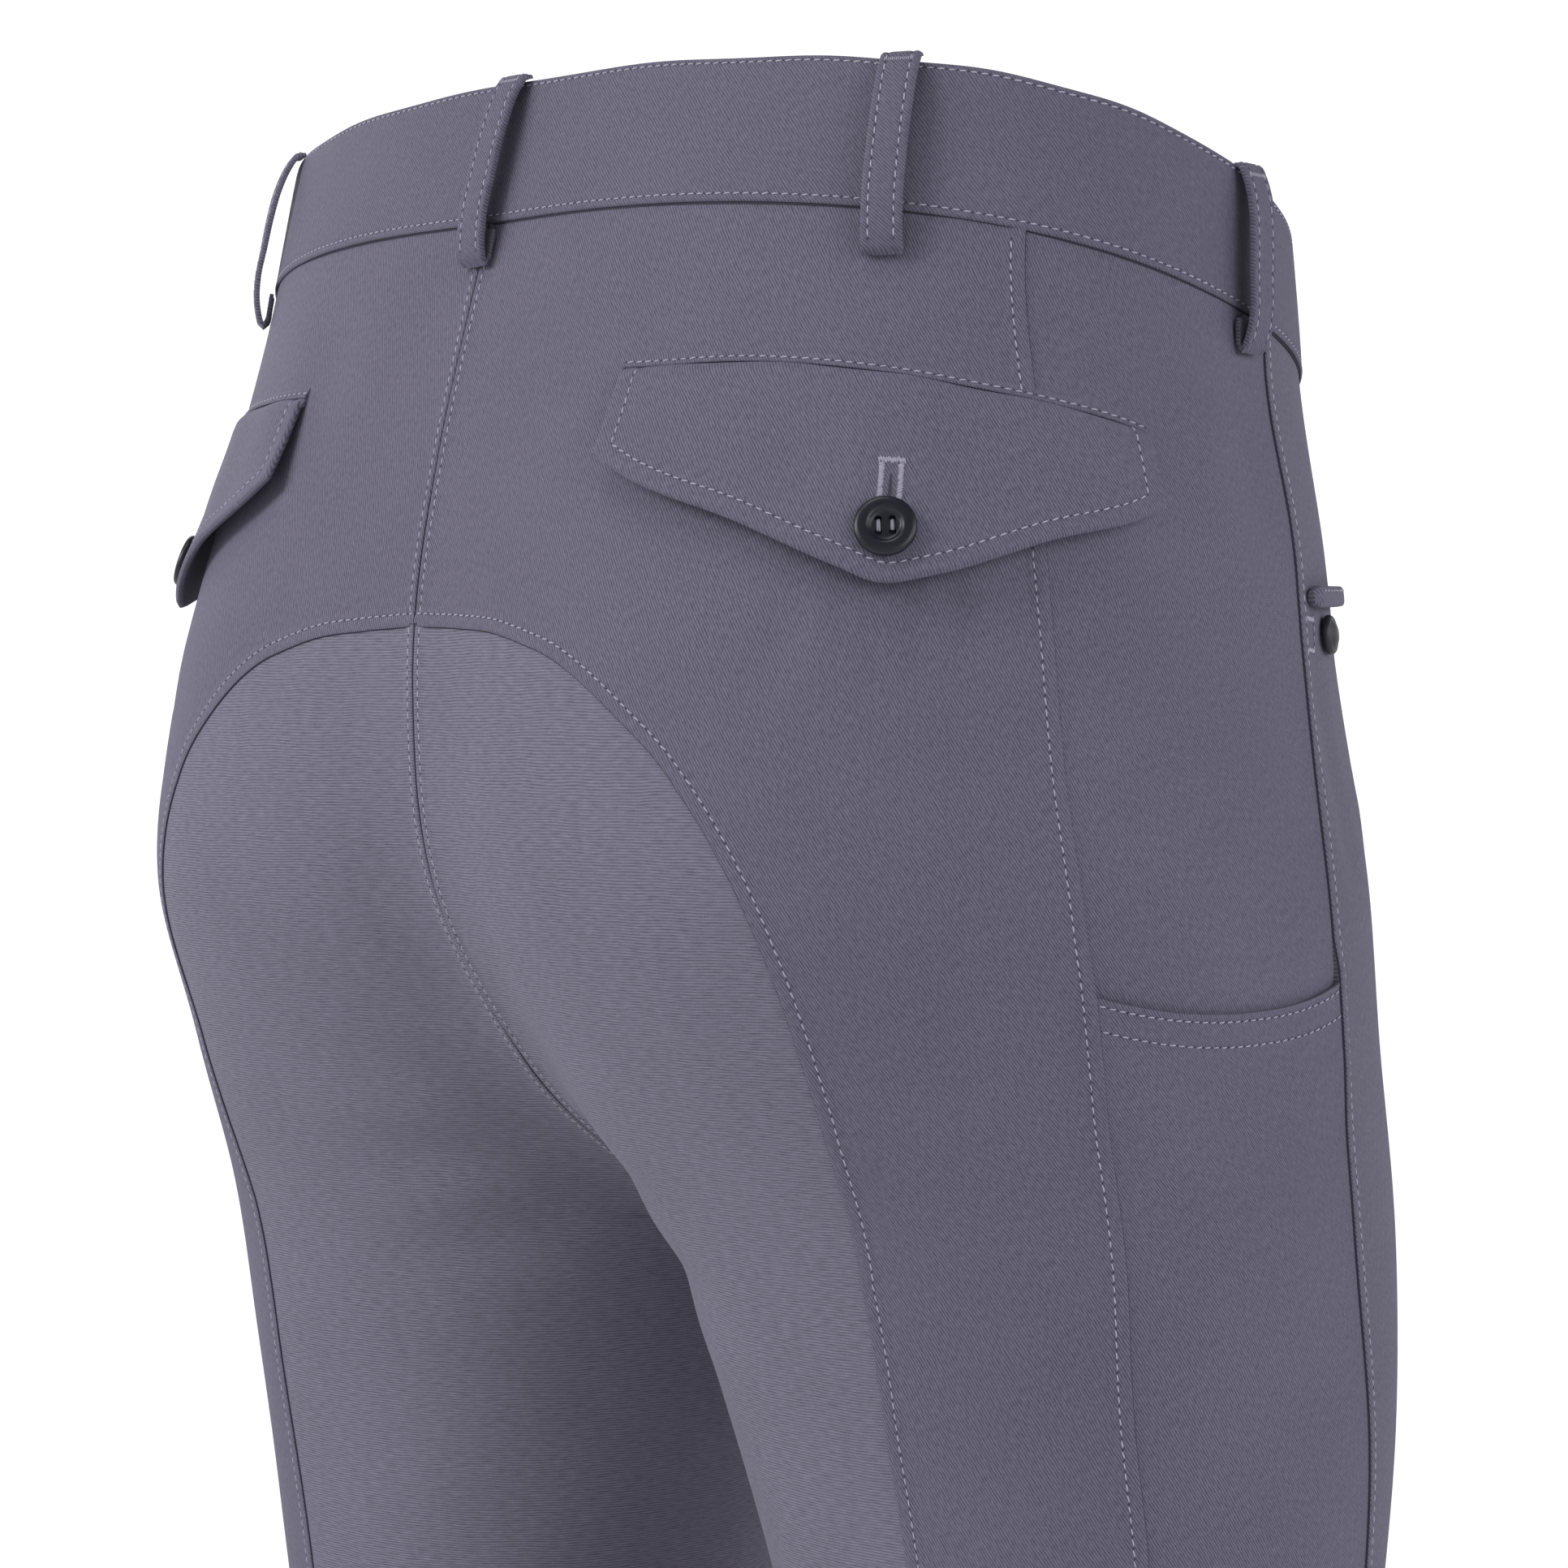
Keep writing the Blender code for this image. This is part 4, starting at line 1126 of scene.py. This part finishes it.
def build_loop(name, side, top, foot):
    """A belt loop: a folded strip standing off the band, its foot folded back under."""
    base = BAND_OUT + GAP + 0.0002
    bottom = -BAND_HEIGHT - LOOP_DROP
    high = base + LOOP_STAND + RNG.uniform(-0.0002, 0.0002)
    # over the band's top edge, out, down past the waist seam, then folded back up to it
    knots = ((0.0008, base - 0.0008), (0.0005, base + 0.0006), (-0.0016, base + 0.0018),
             (-0.0050, base + 0.0030), (-0.0100, high - 0.0005), (-0.0170, high),
             (-0.0260, high), (-0.0340, high - 0.0001), (-0.0390, high - 0.0010),
             (-0.0425, 0.0036), (bottom + 0.0006, 0.0026), (bottom, 0.0022),
             (bottom + 0.0008, 0.0019), (-0.0415, 0.0020), (-0.0375, 0.0022))
    level, off = curve_through(knots, 90).T
    girth = top + (foot - top) * np.clip(level / bottom, 0, 1)
    pts, n = lifted(1, girth, level, off)
    wide = unit(np.cross(n, UP))
    face = np.cross(wide, unit(np.gradient(pts, axis=0)))
    face = face * np.sign(face[30] @ n[30])
    half = LOOP_WIDTH / 2
    form = ((-half, 0.30), (-half + 0.0002, 0.80), (-half + 0.0008, 0.99), (-half + 0.0016, 0.94),
            (-half + 0.0020, 0.84), (-half + 0.0024, 0.94), (-half + 0.0034, 1.0), (0.0, 0.98))
    form = form + tuple((-x, h) for x, h in form[-2::-1])
    form = form + tuple((x, 0.0) for x in (half, half * 0.5, 0.0, -half * 0.5, -half))
    swell = np.ones(len(pts))
    swell[:2] = swell[-2:] = 0.72     # thinner at its two cut ends

    def across(x, h):
        return pts + wide * x + face * (h * LOOP_WALL * swell)[:, None]

    run = -run_of(pts)
    flip = np.array((side, 1.0, 1.0))
    gather = Pieces()
    gather.tube(np.stack([across(x, h) for x, h in form], 1) * flip,
                np.stack([places(x * side, run) for x, _ in form], 1), face * flip)
    obj = gather.build(name + "_cloth", BAND_CLOTH, "band_cloth", (name,))
    for x in (-half + 0.0020, half - 0.0020):
        sew(side, across(x, 0.92)[LOOP_SEWN], face[LOOP_SEWN], slant=5.0)
    tack = np.linspace(-half + 0.0016, half - 0.0016, 15)[:, None]
    spots = pts[TACK_ROW] + face[TACK_ROW] * LOOP_WALL + wide[TACK_ROW] * tack
    along, out = (np.repeat(v[TACK_ROW][None], len(tack), 0) for v in (wide, face))
    SEW[side].place(spots * flip, along * flip, out * flip, 80.0, 0.62)


# ---- flaps ----
FLAP_PLY = 0.0021         # both layers
FLAP_INSET = 0.0050       # topstitch inside the edge
FLAP_TUCK = 0.0025        # the flap's top dips under the panel's folded edge
HOLE_PITCH = 0.00036      # of the buttonhole's stitches


class Flap:
    """One pocket flap: two layers, edge rounded, topstitched, buttonhole over its button."""

    def __init__(self, side, tag):
        self.side, self.tag = side, tag
        part = np.concatenate([[0.0, 0.003, 0.007], np.linspace(0, 1, 97)[1:-1],
                               [0.993, 0.997, 1.0]])
        down = np.concatenate([[0.0, 0.02, 0.045], np.linspace(0.07, 0.94, 36),
                               [0.965, 0.985, 1.0]])
        p, d = np.meshgrid(part, down)
        girth, top, bottom = np.moveaxis(table_read(FLAP, p), -1, 0)
        level = top + (bottom - top) * d
        u = self.uv = flat(girth, level)
        base, n = lifted(1, girth, level)
        off = GAP + 0.0004 + FLAP_LIFT * d ** 1.5 + FLAP_PLY / 2
        off = off - FLAP_TUCK * bell(level - top, 0.0016) + folds(side, base) * (1 - d)
        mid = base + n * off[..., None]
        out = unit(np.cross(np.gradient(mid, axis=1), np.gradient(mid, axis=0)))
        self.n = out * np.sign((out * n).sum(-1))[..., None]
        self.rim = np.concatenate([u[:, 0], u[-1], u[::-1, -1]])
        edge = near_line(u.reshape(-1, 2), self.rim)[0].reshape(p.shape)
        spot = [np.abs(line - at).argmin() for line, at in zip((part, down), FLAP_BUTTON_AT)]
        self.button_uv = u[spot[1], spot[0]]
        du, dv = np.moveaxis(u - self.button_uv, -1, 0)
        soft = -0.00045 * np.exp(-(du / 0.0032) ** 2 - ((dv - 0.026) / 0.0085) ** 2)
        for x, wide, high in ((-0.0105, 0.0038, 0.00035), (0.0085, 0.0034, 0.00040),
                              (-0.026, 0.0060, -0.00030), (0.024, 0.0052, -0.00035)):
            soft = soft + high * bell(du - x - 0.25 * (dv - 0.02), wide) * bell(dv - 0.021, 0.011)
        soft = soft + 0.0002 * np.sin(du * 190 + dv * 60) * np.clip(edge / 0.006, 0, 1)
        mid = mid + self.n * soft[..., None]
        e = np.clip(edge / 0.0009, 0, 1)
        thick = FLAP_PLY / 2 * (0.10 + 0.90 * np.sqrt(1 - (1 - e) ** 2))
        groove = 0.00016 * bell(edge - FLAP_INSET, 0.0006)
        swell = 0.00013 * bell(edge - 0.0026, 0.0014)
        self.top = mid + self.n * (thick - groove + swell)[..., None]
        self.low = mid - self.n * thick[..., None]

    def at(self, targets):
        """Points and normals on the outer face over flat places."""
        u = self.uv
        found, normals = [], []
        for q in targets:
            k = np.argmin(((u - q) ** 2).sum(-1))
            i, j = np.unravel_index(k, u.shape[:2])
            i = min(max(i, 1), u.shape[0] - 2)
            j = min(max(j, 1), u.shape[1] - 2)
            a = np.stack([u[i + 1, j] - u[i - 1, j], u[i, j + 1] - u[i, j - 1]], -1)
            s = np.linalg.solve(a, q - u[i, j])
            run = self.top[i + 1, j] - self.top[i - 1, j], self.top[i, j + 1] - self.top[i, j - 1]
            found.append(self.top[i, j] + run[0] * s[0] + run[1] * s[1])
            normals.append(self.n[i, j])
        return np.array(found), np.array(normals)

    def build(self):
        side = self.side
        gather = Pieces()
        gather.shell(turned(side, self.top), turned(side, self.low), self.uv * (side, 1),
                     turned(side, self.n))
        obj = gather.build("flap_%s_cloth" % self.tag, CLOTH, "cloth", ("flap_" + self.tag,), 60.0)
        self.topstitch()
        self.buttonhole()

    def topstitch(self):
        run = run_of(self.rim)
        t = np.linspace(0, run[-1], 420)
        line = np.stack([np.interp(t, run, column) for column in self.rim.T], -1)
        tangent = unit(np.gradient(line, axis=0))
        inward = np.stack([-tangent[:, 1], tangent[:, 0]], -1)
        middle = self.uv[self.uv.shape[0] // 2, self.uv.shape[1] // 2]
        if ((middle - line[200]) * inward[200]).sum() < 0:
            inward = -inward
        inset = line + inward * FLAP_INSET
        inset = inset[near_line(inset, self.rim)[0] > FLAP_INSET * 0.985]
        pts, n = self.at(inset[inset[:, 1] < self.uv[1, 40, 1] - 0.0015])
        sew(self.side, pts + n * 0.00004, n)

    def satin(self, u, v, lean, out, upright=False):
        """Close stitches across the buttonhole's edge, at flat places from the button."""
        pts, n = self.at(self.button_uv + places(u, v))
        t = np.cross(n, UP)
        t = np.cross(t, n) if upright else t
        spots = (turned(self.side, a) for a in (pts + n * out, t, n))
        SEW[self.side].place(*spots, lean(), 0.85)

    def buttonhole(self):
        """Worked buttonhole: two satin columns, a bar across the top and a dark bar of painted
        shade in its slit.
        """
        span = np.arange(0.0064, 0.0178, HOLE_PITCH)
        for x in (-0.0023, 0.0023):
            self.satin(x + RNG.normal(0, 0.00008, len(span)), span, lambda: RNG.normal(8, 9),
                       0.00006)
        xs = np.arange(-0.0031, 0.0032, HOLE_PITCH)
        self.satin(xs, 0.0186 + RNG.normal(0, 0.00012, len(xs)), lambda: 4.0, 0.00008, True)
        # the slit: a thin dark bar of painted shade in the cut
        pts, n = self.at(self.button_uv + places(0.0, np.linspace(0.0050, 0.0150, 9)))
        t = unit(np.cross(n, UP))
        width = np.sin(np.linspace(0.15, math.pi - 0.15, 9)) ** 0.5
        rings = [pts + t * (x * width)[:, None] + n * h for x, h in (
            (-0.00042, 0.00009), (0.00042, 0.00009), (0.00036, -0.0003), (-0.00036, -0.0003))]
        slit = Pieces()
        slit.tube(turned(self.side, np.stack(rings, 1)), np.zeros((9, 4, 2)),
                  turned(self.side, n))
        slit.build("buttonhole_slit_" + self.tag, HOLE_SHADE_LOOK, "cloth")


def flap_seat(made, side):
    """The panel's folded edge over the flap's top, with its topstitch; the faces under that edge
    are painted dark as its shade.
    """
    part = np.linspace(-0.004, 1.004, 220)
    cols = table_read(FLAP, np.clip(part, 0, 1))
    path = places(cols[:, 0], cols[:, 1] + 0.0001)
    inward = 1 if beside(path, 1)(0.003)[1][100] > path[100, 1] else -1
    ridge = ((-0.60, -0.50), (-0.64, 0.40), (-0.42, 0.44), (-0.35, 0.70), (-0.05, 0.86),
             (0.35, 0.80), (0.75, 0.52), (1.05, 0.46), (1.40, 0.50), (2.10, 0.26), (2.90, 0.02),
             (3.20, -0.2), (1.50, -0.50))
    lap_strip(made, side, path, inward, ridge, 1.25, shade=(0, 1, 2))
    # on the right half, a flat dark strip of painted shadow lies on the panel along the upper part
    # of the flap's edge nearest the centre back
    if side < 0:
        girth, top, low = FLAP[0][1:]
        edge = places(girth, np.linspace(top, top + (low - top) * 0.75, 20))
        out = 1 if beside(edge, 1)(0.003)[0][10] > girth else -1
        strip = ((-0.60, -0.40), (-0.55, 0.04), (0.00, 0.06), (0.50, 0.06), (1.05, 0.05),
                 (1.10, -0.40))
        lap_strip(made, side, edge, out, strip, shade=range(6))
    sew_beside(side, path, inward, 0.00115, 0.00058)


# ---- buttons ----
def lathe(form, count=72):
    """Grid of points and faces turned from (radius, height) in millimetres."""
    turn = circle(count)
    r, h = np.array(form).T[..., None] * 1e-3
    pts = np.stack([r * np.cos(turn), r * np.sin(turn), h + 0 * turn], -1)
    return pts, grid_faces(len(form), count, wrap_cols=True)


def axes_at(point, n, lean=0.0):
    """Frame whose z is n, y as near up as it can be."""
    n = Vector(n).normalized()
    x = Vector((0, 0, 1)).cross(n).normalized()
    m = Matrix((x, n.cross(x), n)).transposed().to_4x4()
    m.translation = Vector(point)
    return m @ Matrix.Rotation(lean, 4, "Z")


BUTTON_FORM = ((0.01, 0.10), (5.6, 0.10), (6.9, 0.32), (7.55, 0.85), (7.75, 1.45), (7.72, 1.95),
               (7.50, 2.45), (7.10, 2.78), (6.50, 2.93), (5.70, 2.97), (4.90, 2.95), (4.45, 2.86),
               (4.12, 2.62), (3.92, 2.30), (3.55, 2.08), (2.90, 2.00), (0.01, 1.97))
SNAP_FORM = ((0.01, 0.10), (4.70, 0.10), (5.10, 0.40), (5.25, 0.95), (5.18, 1.50), (4.95, 1.95),
             (4.60, 2.25), (4.30, 2.30), (4.05, 2.22), (3.80, 2.32), (3.20, 2.72), (2.20, 3.10),
             (1.10, 3.28), (0.01, 3.32))
HOLE_SPREAD = 0.00168     # of a button's four holes from its axis
HOLE_RADIUS = 0.00088


def freed(bm, name):
    """An object made of a bmesh, which is let go."""
    mesh = bpy.data.meshes.new(name)
    bm.to_mesh(mesh)
    bm.free()
    return new_object(name, mesh)


def pierce(obj):
    """Four holes through a button."""
    bm = bmesh.new()
    for x in (-HOLE_SPREAD, HOLE_SPREAD):
        for y in (-HOLE_SPREAD, HOLE_SPREAD):
            bmesh.ops.create_cone(bm, cap_ends=True, segments=28, radius1=HOLE_RADIUS,
                                  radius2=HOLE_RADIUS, depth=0.006,
                                  matrix=Matrix.Translation((x, y, 0.0015)))
    cut = freed(bm, obj.name + "_cut")
    mod = obj.modifiers.new("holes", "BOOLEAN")
    mod.operation, mod.solver, mod.object = "DIFFERENCE", "EXACT", cut
    seen = bpy.context.evaluated_depsgraph_get()
    mesh = bpy.data.meshes.new_from_object(obj.evaluated_get(seen))
    obj.modifiers.clear()
    obj.data = mesh
    bpy.data.objects.remove(cut, do_unlink=True)


def turned_piece(name, form, place, mat, replaces, holes):
    """A lathed piece set in its frame, its middle closed with a fan."""
    pts, faces = lathe(form)
    bm = bmesh.new()
    verts = [bm.verts.new(v) for v in pts.reshape(-1, 3)]
    for f in faces.tolist():
        bm.faces.new([verts[i] for i in f])
    bmesh.ops.holes_fill(bm, edges=[e for e in bm.edges if e.is_boundary], sides=0)
    bmesh.ops.recalc_face_normals(bm, faces=bm.faces)
    obj = freed(bm, name)
    if holes:
        pierce(obj)
    mesh = obj.data
    mesh.transform(place)
    mesh.materials.clear()
    mesh.materials.append(mat)
    if not mesh.uv_layers:
        mesh.uv_layers.new(name="UVMap")
    finish_piece(obj, replaces, 38.0)


def button(name, point, n, lean=0.0):
    """A four-hole button with two bars of three threads across its holes."""
    place = axes_at(point, n, lean)
    turned_piece(name + "_resin", BUTTON_FORM, place, BUTTON_LOOK, (name,), True)
    rot = np.array(place.to_3x3())
    strands = [(x + dx, dx, h) for x in (-HOLE_SPREAD, HOLE_SPREAD) for dx, h in (
        (-0.00026, 0.00207), (0.00002, 0.00222), (0.00028, 0.00209))]
    at = np.array([np.array(place.translation) + rot @ (x, 0.0, h) for x, _, h in strands])
    along = np.array([rot @ (dx * 0.3, 1.0, 0.0) for _, dx, _ in strands])
    out = np.repeat((rot @ (0.0, 0.0, 1.0))[None], len(at), 0)
    BUTTON_SEW.place(at, along, out, 0.0, 0.95, 1.85)


BUTTON_SEW = Sewing()


def flap_spot(flap):
    """Where the CAD's flap button sits: its own box's middle, facing out of the flap."""
    low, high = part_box("flap_button_" + flap.tag)
    mid = np.array((low + high) / 2)
    on, n = (turned(flap.side, a)[0] for a in flap.at([flap.button_uv]))
    return mid - n * ((mid - on) @ n) + n * 0.00025, n


# ---- front hip pocket, fly, cuffs ----
def soft_bar(thick, high, count=20):
    """Rounded oblong section: (out, up) places, first ones on the outer face."""
    a = np.linspace(0, 2 * math.pi, count, endpoint=False) + 0.3
    c, s = np.cos(a), np.sin(a)
    return np.stack([np.sign(c) * np.abs(c) ** 0.55 * thick / 2 + thick / 2,
                     np.sign(s) * np.abs(s) ** 0.55 * high / 2], -1)


def build_lip(side, tag):
    """Folded lip of the front hip pocket, its stitches and the bar tacks at its outer end."""
    u = np.linspace(0, 1, 64)
    girth = LIP_FROM[0] + (LIP_TO[0] - LIP_FROM[0]) * u
    level = LIP_FROM[1] + (LIP_TO[1] - LIP_FROM[1]) * u
    rings, uvs = [], []
    pinch = np.clip(np.minimum(u, 1 - u) / 0.02, 0.55, 1.0)
    for out, up in soft_bar(LIP_THICK, LIP_HEIGHT):
        pts, n = lifted(1, girth, level + up * pinch, LIP_BASE + out * pinch)
        off = folds(side, pts) * 0.6
        rings.append(turned(side, pts + n * off[:, None]))
        uvs.append(flat(girth, level + up) * (side, 1))
    gather = Pieces()
    gather.tube(np.stack(rings, 1), np.stack(uvs, 1), turned(side, n))
    obj = gather.build("hip_lip_%s_cloth" % tag, CLOTH, "cloth", ("hip_lip_" + tag,))
    pts, n = lifted(1, girth, level + 0.0016, LIP_BASE + LIP_THICK)
    sew(side, pts[3:-3] + n[3:-3] * 0.00002, n[3:-3])
    for g, z0, z1 in ((-0.150, -0.1105, -0.1235), (-0.178, -0.1125, -0.1235)):
        SEW[side].row(*cloth(side, g, np.linspace(z0, z1, 12), 0.00012), pitch=0.0021, size=0.8)
    for z in (-0.1142, -0.1228):
        pts, n = cloth(side, np.linspace(-0.150, -0.178, 14), z, 0.00014)
        SEW[side].place(pts, np.repeat(UP[None], len(pts), 0), n, 6.0, 0.7)


def front_girth(x, level):
    """Girth on the front where the skin is x from the middle."""
    z = np.full(len(x), level)
    start, stop = np.full(len(x), -1.0), np.full(len(x), -0.3)
    return sum(halve(lambda g: section(g, z)[0] > x, start, stop, 22)) / 2


def build_fly():
    """Fly overlap, left over right, stitched down both its sides."""
    top = -BAND_HEIGHT - 2 * GAP - 0.0006
    straight = 0.72           # part of the length above the rounded foot
    rows = []
    for v in np.concatenate([np.linspace(0, straight, 34), np.linspace(0.74, 1.0, 16)]):
        level = top + (FLY_BOTTOM - top) * v
        curve = max(0.0, (v - straight) / 0.28)
        width = math.sqrt(max(0.0, 1 - curve ** 2)) * 0.82 + 0.18
        xs = -0.006 + np.linspace(0, FLY_WIDTH, 20) * width
        pts, n = lifted(1, front_girth(np.abs(xs), level), level, GAP + FLY_OUT)
        flip = np.ones((20, 3))
        flip[:, 0] = np.where(xs >= 0, 1.0, -1.0)
        rows.append((pts * flip, n * flip, places(xs, level)))
    pts, n, uv = (np.stack(part) for part in zip(*rows))
    gather = Pieces()
    gather.shell(pts + n * PLY, pts, uv, n)
    obj = gather.build("fly_cloth", FRONT_CLOTH, "cloth", ("fly",))
    for column, end in ((17, None), (1, -4)):
        line = pts[:, column] + n[:, column] * PLY * 1.02
        SEW[1].row(line[:end], n[:end, column])


def build_cuff(side, tag):
    """Ribbed cuff at the ankle, a closed ring of wall."""
    girth = np.linspace(-1, 1, 121)[:-1]
    form = ((0.15, 0.00), (-0.30, 0.55), (-1.2, 0.62), (-1.8, 0.46), (-2.4, 0.60), (-12, 0.55),
            (-30, 0.50), (-50, 0.50), (-66, 0.55), (-72.6, 0.60), (-73.2, 0.46), (-73.8, 0.60),
            (-76.6, 0.62), (-77.8, 0.35), (-78.0, -0.15), (-77.6, -0.55), (-50, -0.60),
            (-20, -0.60), (-0.4, -0.55))
    rings, uvs = [], []
    for drop, out in form:
        level = HEM + drop * 1e-3
        soft = 0.00035 * np.sin(girth * 9 + drop * 0.2) + 0.0003 * np.sin(girth * 5 - drop * 0.13)
        pts, n = lifted(1, girth, level, out * 1e-3 + soft)
        rings.append(turned(side, pts))
        uvs.append(places(girth * 0.11, level))
    rings = np.stack(rings)
    gather = Pieces()
    quads = grid_faces(*rings.shape[:2], wrap_rows=True, wrap_cols=True)
    a = rings[4, 1] - rings[4, 0]
    b = rings[5, 0] - rings[4, 0]
    if np.cross(a, b) @ turned(side, n[0]) < 0:
        quads = quads[:, ::-1]
    gather.add(rings, quads, np.stack(uvs))
    obj = gather.build("cuff_%s_cloth" % tag, SEAT_CLOTH, "seat_cloth", ("cuff_" + tag,))
    for drop in (-0.0018, -0.0732):
        sew(side, *lifted(1, np.linspace(-1, 1, 160), HEM + drop, 0.00062))


# ---- everything ----
MADE = build_panels()
seam_work(MADE)
FLAPS = {}
for side, tag in SIDES:
    FLAPS[side] = Flap(side, tag)
    flap_seat(MADE["back", tag], side)
for (name, tag), gather in MADE.items():
    mat, slot = LOOKS[name]
    obj = gather.build("%s_%s_cloth" % (name, tag), mat, slot, ("%s_%s" % (name, tag),), 62.0)
build_band()
for name, side, top, foot in LOOPS:
    build_loop(name, side, top, foot)
for side, flap in FLAPS.items():
    flap.build()
    button("flap_button_" + flap.tag, *flap_spot(flap), 0.04)
    build_lip(side, flap.tag)
    turned_piece("hip_snap_%s_cap" % flap.tag, SNAP_FORM,
                 axes_at(*lifted(side, *SNAP_AT, LIP_BASE)), SNAP_LOOK,
                 ("hip_snap_" + flap.tag,), False)
    build_cuff(side, flap.tag)
build_fly()
over_band = BAND_OUT + BAND_WALL + GAP * 2 + 0.0008
button("waist_button", *lifted(-1, -1.0 + LAP_GIRTH / 2, -BAND_HEIGHT / 2, over_band))
SEW[1].build("topstitch_l", THREAD_LOOK)
SEW[-1].build("topstitch_r", THREAD_LOOK)
BUTTON_SEW.build("button_thread", BUTTON_THREAD)


# ---- stage, light, camera ----
def build_stage():
    """Pale floor that sweeps up all round, so every view has the same plain ground."""
    level = CAD_BOX[0][2] - 0.004
    form = [(1e-5, 0.0), (1.0, 0.0), (2.6, 0.0)]
    form += [(2.6 + 1.2 * math.sin(a), 1.2 - 1.2 * math.cos(a)) for a in np.linspace(0.15, 1.5, 12)]
    form += [(3.82, 2.4), (3.84, 3.4)]
    pts, faces = lathe(np.array(form) * 1000, 96)
    mesh = bpy.data.meshes.new("floor")
    mesh.from_pydata((pts.reshape(-1, 3) + (0, 0, level)).tolist(), [], faces.tolist())
    mesh.polygons.foreach_set("use_smooth", np.ones(len(mesh.polygons), bool))
    mat, _, bsdf = plain_material("pale_floor", (0.86, 0.86, 0.87), 0.9, spec=0.1)
    bsdf.inputs["Emission Color"].default_value = (1.0, 1.0, 1.0, 1.0)
    bsdf.inputs["Emission Strength"].default_value = 0.06
    mesh.materials.append(mat)
    floor = new_object("floor", mesh)


# camera: what it looks at, its turn and rise from there, its distance and its lens in mm
TARGET = Vector((-0.0078, 0.0, -0.1614))
YAW, RISE, AWAY = 0.8184, 0.0156, 1.1513
LENS, SENSOR = 93.42, 36.0
LEFT = Vector((math.cos(YAW), math.sin(YAW), 0.0))
BACK = Vector((-math.sin(YAW) * math.cos(RISE), math.cos(YAW) * math.cos(RISE), math.sin(RISE)))


def faced(name, data, at, aim):
    """A camera or light at a place, looking at another."""
    obj = new_object(name, data)
    obj.location = at
    obj.rotation_euler = (aim - at).to_track_quat("-Z", "Y").to_euler()
    return obj


def build_camera():
    data = bpy.data.cameras.new("camera")
    data.lens, data.sensor_width, data.clip_start = LENS, SENSOR, 0.02
    bpy.context.scene.camera = faced("camera", data, TARGET + BACK * AWAY, TARGET)


def area_light(name, spot, size, watts, tint=(1.0, 1.0, 1.0), aim=(0.0, 0.0, 0.0)):
    """A round light; spot and aim are metres to the camera, to its left and up from TARGET."""
    data = bpy.data.lights.new(name, "AREA")
    data.shape, data.size, data.energy, data.color = "DISK", size, watts, tint
    at, aim = (TARGET + BACK * c + LEFT * l + Vector(UP) * u for c, l, u in (spot, aim))
    faced(name, data, at, aim)


build_stage()
build_camera()
area_light("key", (1.0, 1.9, 1.3), 1.0, 30.0, (1.0, 0.99, 0.98))
area_light("side", (0.2, 2.2, 0.7), 1.1, 17.0)
area_light("top", (0.6, 0.5, 2.1), 1.1, 12.0)
area_light("fill", (1.5, -1.3, 0.5), 1.4, 15.0, (0.98, 0.98, 1.0))
area_light("outer", (0.5, -2.0, 0.6), 1.4, 10.0)
area_light("front", (-1.6, 0.9, 1.0), 1.4, 9.0)
area_light("backdrop", (-1.3, 0.0, 0.5), 2.2, 44.0, aim=(-3.8, 0.0, 1.0))
world = bpy.data.worlds.new("world")
world.use_nodes = True
background = world.node_tree.nodes["Background"].inputs
background[0].default_value = (0.96, 0.97, 1.0, 1.0)
background[1].default_value = 0.05
bpy.context.scene.view_settings.view_transform = "Standard"
bpy.context.scene.world = world
